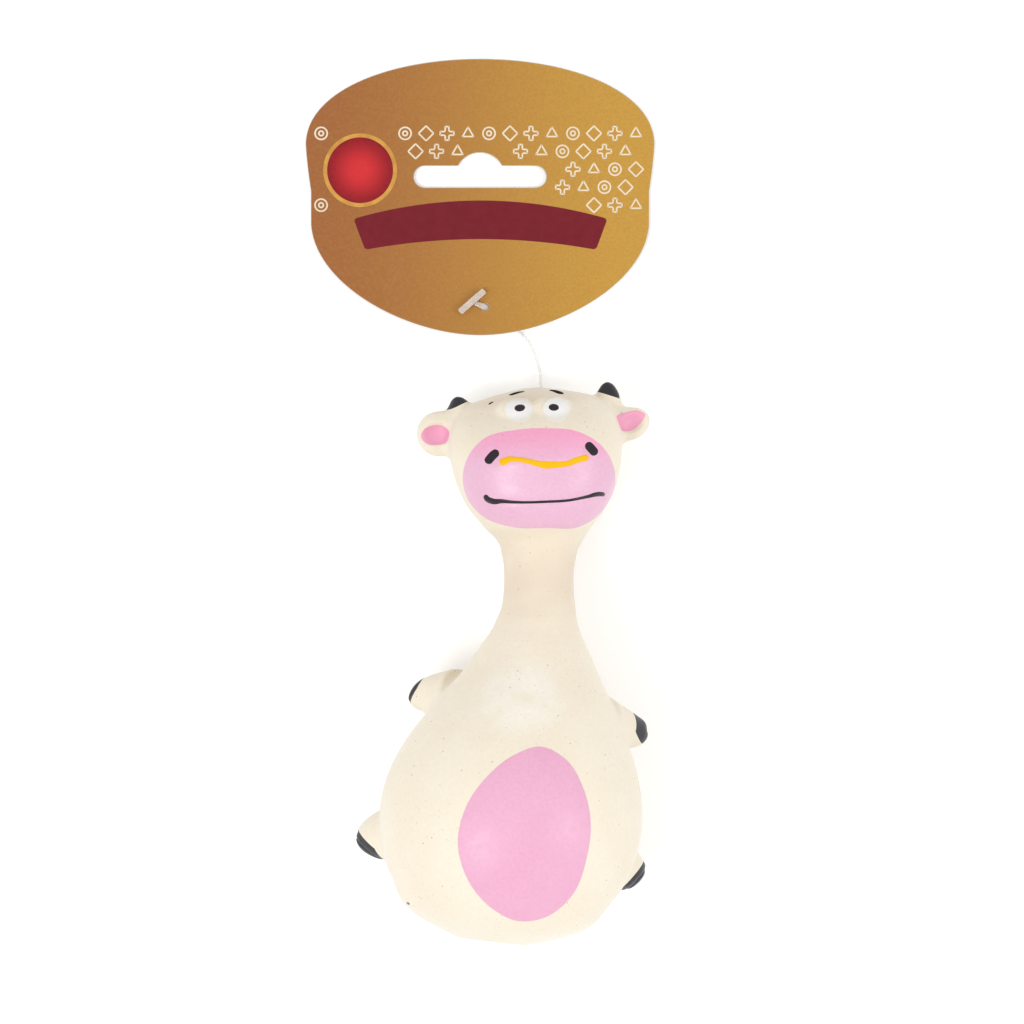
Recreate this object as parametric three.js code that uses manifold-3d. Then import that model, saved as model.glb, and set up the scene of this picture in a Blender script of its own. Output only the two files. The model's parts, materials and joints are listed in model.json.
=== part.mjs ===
// Squeaky latex dog toy: a sitting cow with a round belly and a long neck, lying on its back
// with its header card laid out beyond its head. Millimetres, +Z up from the surface that it
// lies on, +Y from its seat to its head, origin on that surface under the middle of the toy.
import * as THREE from "three";
import { mergeVertices, toCreasedNormals } from "three/addons/utils/BufferGeometryUtils.js";
import Module from "manifold-3d";

const wasm = await Module();
wasm.setup();

const DEGREE = Math.PI / 180;

// Driving dimensions
const WALL = 2; // latex skin
const GAP = 0.3; // between neighbouring pieces
const CREASE = 40 * DEGREE; // edges sharper than this stay sharp

const TORSO = {
  centre: [1.45, -36.41, 28.4],
  lean: -7.5 * DEGREE, // about the vertical, so that the neck leans to the right
  pitch: -6.5 * DEGREE, // the head end lies lower
  flatten: 0.955, // depth as a share of width
  baseWall: 3.9,
};
// Half-width of the torso at distances along its axis, from the flat seat to the shoulder.
const TORSO_PROFILE = [
  [11.4, -27.3],
  [18.3, -24.2],
  [25.6, -16],
  [29.7, -6],
  [30.3, 4],
  [27.8, 14],
  [22.6, 24],
  [16.1, 34],
  [10.5, 44],
];
const SEAT = TORSO_PROFILE[0][1];
const SHOULDER = TORSO_PROFILE.at(-1)[1];

const BELLY = {
  width: 29.6,
  height: 39,
  taper: 0.1, // narrower towards the neck
  across: 3.3,
  along: 0.6,
  lean: 2 * DEGREE,
  from: 5, // where the cut through the front starts, and its reach
  reach: 60,
};

const NECK = { reach: [-0.5, 20.9, -1.15], profile: [10.5, 8.75, 8.15, 8.25, 9.4] };

const HEAD = { pitch: 6.5 * DEGREE, roll: 11.5 * DEGREE, squareness: 2.5 };
// Height above the neck, half-width, front and back of the head's outline.
const HEAD_SECTIONS = [
  [0, 9.4, 9.4, -9.4],
  [2.6, 10.9, 12, -11.8],
  [5, 13, 15, -14],
  [9.6, 16.5, 18.4, -17.2],
  [15.5, 19, 19.8, -19.6],
  [22.5, 20.2, 19.2, -20.5],
  [27, 20, 15.6, -19.9],
  [31, 18.3, 10.6, -17.8],
  [34.5, 14.2, 5, -14.2],
  [36.5, 7.8, -0.6, -10],
];
const HEAD_TOP = { height: 37.3, middle: -5, half: 3 };

const MUZZLE = { width: 35, height: 23, middle: 15.9, corner: 11, from: 3, reach: 40 };
const EYE = { across: 4.3, height: 32.2, depth: 8.6, size: [3.6, 3, 2.2], tilt: -50 * DEGREE };
const HORN = {
  across: 15.9,
  height: 30.6,
  depth: -4.5,
  lean: 13 * DEGREE,
  radius: 3.3,
  root: 2, // how far it starts inside the head
  length: 7.2,
  tip: 1.5,
};
const EAR = {
  across: 18.4,
  height: 28,
  depth: -3,
  blade: [4.7, 5, 2.1],
  middle: [4.1, 0.4, 0], // of the blade, from the ball
  dish: [3.5, 3.1, 1.9],
  dishMiddle: [4.5, 0.4, 2.3],
  ball: 2.6,
  stalk: 1.8,
  clear: 1.1, // between the blade and the head
};

// Limbs: where each root is on the torso, how far it stands out, and the limb's own sizes.
const LIMBS = {
  arm: {
    along: 25.6,
    out: 1.9,
    below: 24 * DEGREE,
    heading: [0.79, -0.05, -0.6],
    ball: 4.8,
    ankle: 4.2,
    length: 8.8,
  },
  leg: {
    along: -6.6,
    out: 0,
    below: 29 * DEGREE,
    heading: [0.8, -0.26, -0.54],
    ball: 5,
    ankle: 5,
    length: 10.1,
  },
};
const STUB = { neck: 28 * DEGREE, ankle: 0.86 }; // where the ball ends, and the ankle as a share of the ball
const HOOF = { flare: 1.04, straight: 0.3, bluntness: 0.8 };
const CLEFT = { width: 0.9, depth: 1.8 };

const SQUEAKER = {
  cover: 1.3, // latex over the lip
  mouth: 7, // radius of the opening in that latex
  lip: 10.4,
  lipThick: 1,
  barrel: 8,
  bore: 6.9,
  depth: 12,
  plate: 1.3,
  vent: 2,
};
const LOCK_RING = 1.2; // thickness
const TROUGH = { outside: 2.8, inside: 1.8, base: 1.2, length: 6.9, endWall: 0.8, overlap: 0.2 };
const REED = { width: 4.6, length: 7.2, thick: 0.25, lift: 0.35, root: 3.1, held: 1.3 };
const CLIP = { thick: 1.6, overhang: 0.3 };
const GRILLE = { thick: 1, holes: 6, circle: 4.2, hole: 1.1 };

const CARD = {
  width: 84.2,
  waist: 81.6,
  top: 60, // heights are from the pin hole
  shoulder: 39.3,
  sideTop: 28,
  sideBottom: 20,
  bottom: -6.8,
  across: -1.2, // of its middle from the pin hole
  thick: 0.5,
  hole: 1.5,
  tilt: -1.07 * DEGREE, // the end by the toy lies on the filament
  at: [-4.3, 84.7, 1.12],
};
const SLOT = { width: 32, height: 5.3, hump: 3.2, humpWidth: 10.5, rise: 31.5 };

const FILAMENT = 0.7; // diameter
// The filament's route from the back of the head, under the card and up through its hole.
const FILAMENT_ROUTE = [
  [9.3, 62.05, 5.05],
  [9.25, 63.3, 3.9],
  [9.2, 65.4, 2.6],
  [9, 68.4, 1.5],
  [8.3, 71.8, 0.88],
  [7, 75, 0.68],
  [4.9, 78, 0.6],
  [2, 80.8, 0.57],
  [-1.2, 82.9, 0.55],
  [-2.4, 83.65, 0.58],
  [-3.4, 84.2, 0.84],
  [-4.3, 84.65, 1.4],
  [-5.2, 85, 2.1],
  [-6.1, 85.3, 2.8],
];
const TAG_BAR = { length: 8, width: 1.6, thick: 1, at: [-7.4, 86, 3], turn: 41 * DEGREE };
const ANCHOR = {
  across: 2.4,
  height: 34.4,
  depth: -14.6,
  hole: 0.8,
  drill: 8, // length of the cut for the hole
  stem: 4.4,
  tilt: -42 * DEGREE,
};

const ROOM = [300, 300, 40]; // under the surface that the toy lies on

// Steps of each form: rings along it and points around it
const STEPS = {
  torso: [16, 32],
  torsoHollow: [10, 20],
  neck: [7, 24],
  neckHollow: [5, 16],
  head: [14, 32],
  headHollow: [8, 20],
};

// Finishes
const finish = (color, roughness, metalness = 0) =>
  new THREE.MeshStandardMaterial({ color, roughness, metalness });
const LATEX = finish(0xf5ead6, 0.75);
const PINK = finish(0xf4b6d4, 0.55);
const BLACK = finish(0x302f33, 0.5);
const WHITE = finish(0xf1efec, 0.5);
const PLASTIC = finish(0xe9e6df, 0.45);
const CLEAR = finish(0xe8e4dc, 0.25);
const BRASS = finish(0xc9a24a, 0.35, 1);
const GOLD_CARD = finish(0xb9853f, 0.45);

// A closed geometry as a solid, with the vertices at one place merged and empty triangles dropped.
function solid(geometry) {
  const bare = geometry.index ? geometry.toNonIndexed() : geometry.clone();
  const positions = new THREE.BufferGeometry().setAttribute("position", bare.getAttribute("position"));
  const merged = mergeVertices(positions);
  const index = merged.index.array;
  const triVerts = [];
  for (let i = 0; i < index.length; i += 3) {
    const [a, b, c] = index.slice(i, i + 3);
    if (a !== b && b !== c && c !== a) triVerts.push(a, b, c);
  }
  const vertProperties = merged.attributes.position.array;
  return new wasm.Manifold(
    new wasm.Mesh({ numProp: 3, vertProperties, triVerts: new Uint32Array(triVerts) }),
  );
}

// A named mesh of a solid, added to a group.
function piece(group, name, shape, material) {
  const { vertProperties, triVerts } = shape.getMesh();
  const geometry = new THREE.BufferGeometry()
    .setAttribute("position", new THREE.BufferAttribute(vertProperties, 3))
    .setIndex(new THREE.BufferAttribute(triVerts, 1));
  const mesh = new THREE.Mesh(toCreasedNormals(geometry, CREASE), material);
  mesh.name = name;
  group.add(mesh);
  return mesh;
}

// A group inside another, at a place and turned.
function group(parent, position, rotation = [0, 0, 0], order = "XYZ") {
  const made = new THREE.Group();
  made.position.set(...position);
  made.rotation.set(...rotation, order);
  parent.add(made);
  return made;
}

// Turns a profile of [radius, height] points round the Y axis.
function turned(profile, segments) {
  const points = profile.map(([radius, height]) => new THREE.Vector2(radius, height));
  return new THREE.LatheGeometry(points, segments);
}

// A closed skin over rings of points, with each end closed by a fan.
function loft(rings) {
  const count = rings[0].length;
  const points = rings.flat();
  const index = [];
  for (let i = 0; i + 1 < rings.length; i++) {
    for (let j = 0; j < count; j++) {
      const a = i * count + j;
      const b = i * count + ((j + 1) % count);
      index.push(a, a + count, b, b, a + count, b + count);
    }
  }
  for (const [ring, start, last] of [
    [rings[0], 0, false],
    [rings.at(-1), points.length - count, true],
  ]) {
    const middle = points.length;
    points.push(ring.reduce((sum, p) => sum.add(p), new THREE.Vector3()).divideScalar(count));
    for (let j = 0; j < count; j++) {
      const a = start + j;
      const b = start + ((j + 1) % count);
      index.push(...(last ? [b, a, middle] : [a, b, middle]));
    }
  }
  return new THREE.BufferGeometry().setFromPoints(points).setIndex(index);
}

function sphere(radius, at = [0, 0, 0], segments = 16) {
  return new THREE.SphereGeometry(radius, segments, segments / 2).translate(...at);
}

function box(size, at = [0, 0, 0]) {
  return new THREE.BoxGeometry(...size).translate(...at);
}

function extruded(shape, depth, from, curveSegments = 12) {
  const settings = { depth, curveSegments, bevelEnabled: false };
  return new THREE.ExtrudeGeometry(shape, settings).translate(0, 0, from);
}

// The room under the surface that the toy lies on, seen from inside a group.
function underTheToy(inside) {
  inside.updateWorldMatrix(true, false);
  const room = box(ROOM, [0, 0, -ROOM[2] / 2]);
  return solid(room.applyMatrix4(inside.matrixWorld.clone().invert()));
}

// Outline of the painted belly in the torso's plane, grown outwards by a margin.
function bellyOutline(margin) {
  const points = [];
  const steps = 40;
  for (let i = 0; i < steps; i++) {
    const angle = (i / steps) * 2 * Math.PI;
    const half = (BELLY.width / 2) * (1 - BELLY.taper * Math.sin(angle)) + margin;
    const point = new THREE.Vector2(half * Math.cos(angle), (BELLY.height / 2 + margin) * Math.sin(angle));
    point.rotateAround(new THREE.Vector2(), -BELLY.lean);
    points.push(point.add(new THREE.Vector2(BELLY.across, BELLY.along)));
  }
  return new THREE.Shape(points);
}

// Outer skin of the torso as a closed form, or its hollow when it is set in by the wall.
function pear(inset, rings, segments) {
  const curve = new THREE.SplineCurve(TORSO_PROFILE.map((p) => new THREE.Vector2(...p)));
  const floor = inset ? SEAT + TORSO.baseWall : SEAT;
  const profile = [[0, floor]];
  for (let i = 0; i <= rings; i++) {
    const point = curve.getPoint(i / rings);
    const along = curve.getTangent(i / rings);
    profile.push([point.x - inset * along.y, Math.max(point.y + inset * along.x, floor)]);
  }
  if (inset) profile.push([profile.at(-1)[0], SHOULDER + WALL]);
  profile.push([0, profile.at(-1)[1]]);
  return turned(profile, segments).scale(1, 1, TORSO.flatten);
}

// Rings of the head's outline, set in by a margin, through its sections.
function headForm(inset, rings, around) {
  const through = (column) => {
    const points = HEAD_SECTIONS.map((s) => new THREE.Vector2(s[0], s[column]));
    return new THREE.SplineCurve(points);
  };
  const [width, front, back] = [1, 2, 3].map(through);
  const made = [];
  for (let i = 0; i <= rings; i++) {
    const at = i / rings;
    const height = width.getPoint(at).x;
    const half = Math.max(width.getPoint(at).y - inset, 1);
    const depth = (front.getPoint(at).y - back.getPoint(at).y) / 2 - inset;
    const middle = (front.getPoint(at).y + back.getPoint(at).y) / 2;
    made.push(squareRing(height, half, Math.max(depth, 1), middle, around));
  }
  if (inset > 0) {
    const below = made[0].map((p) => p.clone().setY(-WALL));
    made.unshift(below);
  } else {
    const { height, middle, half } = HEAD_TOP;
    made.push(squareRing(height - inset, half, half, middle, around));
  }
  return loft(made);
}

// A level ring between a circle and a square.
function squareRing(height, half, depth, middle, around) {
  const ring = [];
  const power = 2 / HEAD.squareness;
  for (let j = 0; j < around; j++) {
    const angle = (j / around) * 2 * Math.PI;
    const [c, s] = [Math.cos(angle), Math.sin(angle)];
    const x = half * Math.sign(c) * Math.abs(c) ** power;
    const z = middle + depth * Math.sign(s) * Math.abs(s) ** power;
    ring.push(new THREE.Vector3(x, height, z));
  }
  return ring;
}

const toy = new THREE.Group();

// Torso, with the belly panel cut out of its front and a socket for each limb
const torso = group(toy, TORSO.centre, [TORSO.pitch, 0, TORSO.lean], "ZXY");

function limbRoot(limb, side) {
  const curve = new THREE.SplineCurve(TORSO_PROFILE.map(([r, s]) => new THREE.Vector2(s, r)));
  const span = SHOULDER - SEAT;
  let at = (limb.along - SEAT) / span;
  for (let i = 0; i < 20; i++) at += (limb.along - curve.getPoint(at).x) / span;
  const radius = curve.getPoint(at).y;
  const across = side * (radius * Math.cos(limb.below) + limb.out);
  return [across, limb.along, -TORSO.flatten * radius * Math.sin(limb.below)];
}

function makeTorso() {
  const skin = solid(pear(0, ...STEPS.torso)).subtract(solid(pear(WALL, ...STEPS.torsoHollow)));
  const { cover, mouth, lip, lipThick, barrel } = SQUEAKER;
  const bore = (radius, from, to) => {
    const tall = to - from;
    const plug = new THREE.CylinderGeometry(radius, radius, tall, 24);
    return solid(plug.translate(0, SEAT + from + tall / 2, 0));
  };
  let shell = skin
    .subtract(underTheToy(torso))
    .subtract(bore(mouth, -WALL, cover))
    .subtract(bore(lip + GAP, cover - GAP, cover + lipThick + GAP))
    .subtract(bore(barrel + GAP, cover, TORSO.baseWall + WALL));
  for (const limb of Object.values(LIMBS)) {
    for (const side of [-1, 1]) {
      shell = shell.subtract(solid(sphere(limb.ball + GAP, limbRoot(limb, side))));
    }
  }
  const front = (margin) => solid(extruded(bellyOutline(margin), BELLY.reach, BELLY.from));
  piece(torso, "torso_shell", shell.subtract(front(GAP / 2)), LATEX);
  const belly = group(torso, [0, 0, 0]);
  belly.name = "belly_squeeze";
  piece(belly, "belly_panel", skin.intersect(front(-GAP / 2)), PINK);
}

// Arms and legs: a ball root, a stub and a cloven hoof, along the limb's own Y axis
function makeLimb(name, limb, side) {
  const joint = group(torso, limbRoot(limb, side));
  joint.name = `${name}_flex`;
  const heading = new THREE.Vector3(side * limb.heading[0], limb.heading[1], limb.heading[2]);
  joint.quaternion.setFromUnitVectors(new THREE.Vector3(0, 1, 0), heading.normalize());
  const ballSteps = 6;
  const stub = [];
  for (let i = 0; i <= ballSteps; i++) {
    const angle = -Math.PI / 2 + (i / ballSteps) * (Math.PI / 2 + STUB.neck);
    stub.push([i ? limb.ball * Math.cos(angle) : 0, limb.ball * Math.sin(angle)]);
  }
  const ankleRadius = STUB.ankle * limb.ball;
  stub.push([ankleRadius, limb.ankle], [0, limb.ankle]);
  piece(joint, name, solid(turned(stub, 16)), LATEX);
  const start = limb.ankle + GAP;
  const tall = limb.length - start;
  const flare = HOOF.flare * ankleRadius;
  const hoof = [[0, start], [ankleRadius, start], [flare, start + HOOF.straight * tall]];
  const tipSteps = 4;
  for (let i = 1; i <= tipSteps; i++) {
    const angle = (i / tipSteps) * (Math.PI / 2);
    const radius = i < tipSteps ? flare * Math.cos(angle) ** HOOF.bluntness : 0;
    hoof.push([radius, start + tall * THREE.MathUtils.lerp(HOOF.straight, 1, Math.sin(angle))]);
  }
  const cleft = box([CLEFT.width, 2 * CLEFT.depth, 4 * limb.ball], [0, limb.length, 0]);
  piece(joint, `${name}_hoof`, solid(turned(hoof, 16)).subtract(solid(cleft)), BLACK);
}

// Squeaker in the seat: a flanged cup held by a lock ring, with a reed on a trough inside
function makeSqueaker() {
  const seat = group(torso, [0, SEAT + SQUEAKER.cover, 0]);
  const { cover, lip, lipThick, barrel, bore, depth, plate, vent } = SQUEAKER;
  const ring = (profile) => solid(turned([...profile, profile[0]], 20));
  const cup = ring([
    [vent, 0],
    [lip, 0],
    [lip, lipThick],
    [barrel, lipThick],
    [barrel, depth],
    [bore, depth],
    [bore, plate],
    [vent, plate],
  ]);
  piece(seat, "squeaker_cup", cup, PLASTIC);

  const ringFrom = TORSO.baseWall - cover + GAP;
  const lock = ring([
    [barrel + GAP, ringFrom],
    [lip, ringFrom],
    [lip, ringFrom + LOCK_RING],
    [barrel + GAP, ringFrom + LOCK_RING],
  ]);
  piece(seat, "squeaker_lock_ring", lock, PLASTIC);

  const { outside, inside, endWall, overlap } = TROUGH;
  const floor = plate + GAP;
  const shelf = floor + TROUGH.base;
  const end = shelf + TROUGH.length;
  const disc = ring([
    [inside, floor],
    [bore - GAP, floor],
    [bore - GAP, shelf],
    [inside, shelf],
  ]);
  const tube = ring([
    [inside, shelf - overlap],
    [outside, shelf - overlap],
    [outside, end],
    [inside, end],
  ]);
  const wallRadius = inside + overlap;
  const wallFrom = end - endWall;
  const wall = solid(turned([[0, wallFrom], [wallRadius, wallFrom], [wallRadius, end], [0, end]], 20));
  const frontHalf = solid(box([2 * bore, 2 * depth, bore], [0, shelf + depth, bore / 2]));
  piece(seat, "reed_trough", tube.add(wall).subtract(frontHalf).add(disc), PLASTIC);

  const reed = group(seat, [0, REED.root + REED.held, REED.lift + REED.thick / 2]);
  reed.name = "reed_vibrate";
  const strip = box([REED.width, REED.length, REED.thick], [0, REED.length / 2 - REED.held, 0]);
  piece(reed, "squeaker_reed", solid(strip), BRASS);
  const clipAt = [0, shelf + GAP + CLIP.thick / 2, REED.lift + REED.thick + GAP + CLIP.thick / 2];
  const clip = box([REED.width + 2 * CLIP.overhang, CLIP.thick, CLIP.thick], clipAt);
  piece(seat, "reed_clip", solid(clip), PLASTIC);

  const grille = new THREE.Shape().absarc(0, 0, bore - GAP, 0, 2 * Math.PI);
  for (let i = 0; i < GRILLE.holes; i++) {
    const angle = (i / GRILLE.holes) * 2 * Math.PI;
    const at = [GRILLE.circle * Math.cos(angle), GRILLE.circle * Math.sin(angle)];
    grille.holes.push(new THREE.Path().absarc(...at, GRILLE.hole, 0, 2 * Math.PI, true));
  }
  const cap = extruded(grille, GRILLE.thick, 0, 5).rotateX(-Math.PI / 2);
  piece(seat, "squeaker_cap", solid(cap.translate(0, depth - GRILLE.thick, 0)), PLASTIC);
}

// Neck: a waisted tube from the shoulder to the head, turning a little on the way
const neck = group(torso, [0, SHOULDER, 0]);
neck.name = "neck_sway";
const head = group(neck, NECK.reach, [HEAD.pitch, 0, HEAD.roll]);
head.name = "head_nod";

function neckForm(inset, rings, around, reach) {
  const radius = new THREE.SplineCurve(
    NECK.profile.map((r, i) => new THREE.Vector2(i / (NECK.profile.length - 1), r)),
  );
  const up = new THREE.Vector3(0, 1, 0);
  const end = head.position.clone();
  const outOfHead = up.clone().applyQuaternion(head.quaternion);
  const path = new THREE.CubicBezierCurve3(
    up.clone().multiplyScalar(GAP - reach),
    up.clone().multiplyScalar(end.y / 3),
    end.clone().addScaledVector(outOfHead, -end.y / 3),
    end.clone().addScaledVector(outOfHead, reach - GAP),
  );
  const made = [];
  for (let i = 0; i <= rings; i++) {
    const at = i / rings;
    const middle = path.getPoint(at);
    const turn = new THREE.Quaternion().slerpQuaternions(new THREE.Quaternion(), head.quaternion, at);
    const ring = [];
    for (let j = 0; j < around; j++) {
      const angle = (j / around) * 2 * Math.PI;
      const r = radius.getPoint(at).y - inset;
      const squash = THREE.MathUtils.lerp(TORSO.flatten, 1, at);
      ring.push(new THREE.Vector3(r * Math.cos(angle), 0, r * squash * Math.sin(angle)));
    }
    made.push(ring.map((p) => p.applyQuaternion(turn).add(middle)));
  }
  return loft(made);
}

function makeNeck() {
  const tube = solid(neckForm(0, ...STEPS.neck, 0)).subtract(solid(neckForm(WALL, ...STEPS.neckHollow, 1)));
  piece(neck, "neck_tube", tube, LATEX);
}

// Head: a hollow skin with the muzzle cut out of its front
function muzzleOutline(margin) {
  const [half, tall] = [MUZZLE.width / 2 + margin, MUZZLE.height / 2 + margin];
  const corner = Math.min(MUZZLE.corner + margin, tall - 0.1);
  const outline = new THREE.Shape();
  const [left, right] = [-half, half];
  const [low, high] = [MUZZLE.middle - tall, MUZZLE.middle + tall];
  outline.moveTo(left + corner, low);
  outline.lineTo(right - corner, low);
  outline.absarc(right - corner, low + corner, corner, -Math.PI / 2, 0);
  outline.absarc(right - corner, high - corner, corner, 0, Math.PI / 2);
  outline.absarc(left + corner, high - corner, corner, Math.PI / 2, Math.PI);
  outline.absarc(left + corner, low + corner, corner, Math.PI, 1.5 * Math.PI);
  return outline;
}

function makeHead() {
  const skin = solid(headForm(0, ...STEPS.head)).subtract(solid(headForm(WALL, ...STEPS.headHollow)));
  const grown = solid(headForm(-GAP, ...STEPS.head));
  const front = (margin) => solid(extruded(muzzleOutline(margin), MUZZLE.reach, MUZZLE.from, 8));
  const anchorTurn = new THREE.Matrix4().makeRotationX(ANCHOR.tilt);
  anchorTurn.setPosition(ANCHOR.across, ANCHOR.height, ANCHOR.depth);
  const drill = new THREE.CylinderGeometry(ANCHOR.hole, ANCHOR.hole, ANCHOR.drill, 10);
  let shell = skin.subtract(underTheToy(head)).subtract(solid(drill.applyMatrix4(anchorTurn)));
  for (const side of [-1, 1]) {
    const socket = [side * EAR.across, EAR.height, EAR.depth];
    shell = shell.subtract(solid(sphere(EAR.ball + GAP, socket)));
  }
  piece(head, "head_shell", shell.subtract(front(GAP / 2)), LATEX);
  piece(head, "muzzle_shell", skin.intersect(front(-GAP / 2)), PINK);

  const stem = new THREE.CylinderGeometry(FILAMENT / 2, FILAMENT / 2, ANCHOR.stem, 10)
    .translate(0, -ANCHOR.stem / 2, 0);
  const bar = box([TAG_BAR.length, TAG_BAR.thick, TAG_BAR.width], [0, -ANCHOR.stem, 0]);
  const anchor = solid(stem.applyMatrix4(anchorTurn)).add(solid(bar.applyMatrix4(anchorTurn)));
  piece(head, "tag_anchor", anchor, CLEAR);

  for (const [end, side] of [["left", -1], ["right", 1]]) {
    const eye = sphere(1, [0, 0, 0], 16).scale(...EYE.size).rotateX(EYE.tilt);
    eye.translate(side * EYE.across, EYE.height, EYE.depth);
    piece(head, `eye_${end}`, solid(eye).subtract(grown), WHITE);
    makeHorn(`horn_${end}`, side, grown);
    makeEar(`ear_${end}`, side);
  }
}

// Horn: a blunt cone that stands on the corner of the head
function makeHorn(name, side, grown) {
  const { radius, root, length, tip } = HORN;
  const profile = [[0, -root], [radius, -root], [radius, 0]];
  const steps = 4;
  for (let i = 0; i <= steps; i++) {
    const angle = (i / steps) * (Math.PI / 2);
    profile.push([i < steps ? tip * Math.cos(angle) : 0, length - tip + tip * Math.sin(angle)]);
  }
  const horn = turned(profile, 14).rotateZ(-side * HORN.lean);
  horn.translate(side * HORN.across, HORN.height, HORN.depth);
  piece(head, name, solid(horn).subtract(grown), BLACK);
}

// Ear: a dished blade on a stalk with a ball root
function makeEar(name, side) {
  const joint = group(head, [side * EAR.across, EAR.height, EAR.depth]);
  joint.name = `${name}_flex`;
  const beside = ([across, up, forward]) => [side * across, up, forward];
  const blade = sphere(1, [0, 0, 0], 16).scale(...EAR.blade).translate(...beside(EAR.middle));
  const dish = sphere(1, [0, 0, 0], 12).scale(...EAR.dish).translate(...beside(EAR.dishMiddle));
  const clear = headForm(-EAR.clear, ...STEPS.head).translate(...joint.position.clone().negate().toArray());
  const reach = EAR.middle[0];
  const stalk = new THREE.CylinderGeometry(EAR.stalk, EAR.stalk, reach, 10)
    .rotateZ(Math.PI / 2)
    .translate((side * reach) / 2, 0, 0);
  const ear = solid(blade)
    .subtract(solid(clear))
    .add(solid(stalk))
    .subtract(solid(dish))
    .add(solid(sphere(EAR.ball, [0, 0, 0], 12)));
  piece(joint, name, ear, LATEX);
}

// Header card: a rounded card with a hang slot and the hole that the tag pin goes through
function cardOutline() {
  const [wide, waist] = [CARD.width / 2, CARD.waist / 2];
  const { top, shoulder, sideTop, sideBottom, bottom } = CARD;
  const [crown, swell] = [0.53 * wide, shoulder + 0.62 * (top - shoulder)]; // pulls of the upper curve
  const [flare, under] = [wide - 0.3, shoulder - 5]; // pull of the curve below the shoulder
  const [chin, jaw] = [0.41 * wide, sideBottom - 0.56 * (sideBottom - bottom)]; // pulls of the lower curve
  const cheek = waist - 1;
  const outline = new THREE.Shape();
  outline.moveTo(waist, sideBottom);
  outline.lineTo(waist, sideTop);
  outline.quadraticCurveTo(flare, under, wide, shoulder);
  outline.bezierCurveTo(wide, swell, crown, top, 0, top);
  outline.bezierCurveTo(-crown, top, -wide, swell, -wide, shoulder);
  outline.quadraticCurveTo(-flare, under, -waist, sideTop);
  outline.lineTo(-waist, sideBottom);
  outline.bezierCurveTo(-cheek, jaw, -chin, bottom, 0, bottom);
  outline.bezierCurveTo(chin, bottom, cheek, jaw, waist, sideBottom);
  return outline;
}

function slotOutline() {
  const end = SLOT.height / 2;
  const half = SLOT.width / 2;
  const [low, high] = [SLOT.rise - end, SLOT.rise + end];
  const hump = SLOT.humpWidth / 2;
  const crest = high + (4 / 3) * SLOT.hump;
  const slot = new THREE.Path();
  slot.moveTo(end - half, low);
  slot.absarc(end - half, SLOT.rise, end, 1.5 * Math.PI, Math.PI / 2, true);
  slot.lineTo(-hump, high);
  slot.bezierCurveTo(-0.6 * hump, crest, 0.6 * hump, crest, hump, high);
  slot.lineTo(half - end, high);
  slot.absarc(half - end, SLOT.rise, end, Math.PI / 2, -Math.PI / 2, true);
  slot.lineTo(end - half, low);
  return slot;
}

function makeCard() {
  const card = group(toy, CARD.at, [CARD.tilt, 0, 0]);
  card.name = "card_spin";
  const outline = cardOutline();
  const pinHole = new THREE.Path().absarc(-CARD.across, 0, CARD.hole, 0, 2 * Math.PI, true);
  outline.holes.push(slotOutline(), pinHole);
  const sheet = extruded(outline, CARD.thick, 0, 8).translate(CARD.across, 0, 0);
  piece(card, "header_card", solid(sheet), GOLD_CARD);
}

// Tag pin: the bar on the card's front and the filament back to the head
function makeTagPin() {
  const section = new THREE.Shape().absarc(0, 0, FILAMENT / 2, 0, 2 * Math.PI);
  const route = new THREE.CatmullRomCurve3(FILAMENT_ROUTE.map((p) => new THREE.Vector3(...p)));
  const settings = { extrudePath: route, steps: 18, curveSegments: 4, bevelEnabled: false };
  piece(toy, "tag_filament", solid(new THREE.ExtrudeGeometry(section, settings)), CLEAR);
  const bar = group(toy, TAG_BAR.at, [0, 0, TAG_BAR.turn]);
  const half = TAG_BAR.width / 2;
  const run = TAG_BAR.length / 2 - half;
  const outline = new THREE.Shape();
  outline.moveTo(-run, -half);
  outline.lineTo(run, -half);
  outline.absarc(run, 0, half, -Math.PI / 2, Math.PI / 2);
  outline.absarc(-run, 0, half, Math.PI / 2, 1.5 * Math.PI);
  piece(bar, "tag_bar", solid(extruded(outline, TAG_BAR.thick, -TAG_BAR.thick / 2, 6)), CLEAR);
}

makeTorso();
for (const [kind, limb] of Object.entries(LIMBS)) {
  makeLimb(`${kind}_left`, limb, -1);
  makeLimb(`${kind}_right`, limb, 1);
}
makeSqueaker();
makeNeck();
makeHead();
makeCard();
makeTagPin();

export default toy;
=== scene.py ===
import json
import math

import bpy
import numpy as np
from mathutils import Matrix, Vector
from mathutils.geometry import delaunay_2d_cdt


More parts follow.
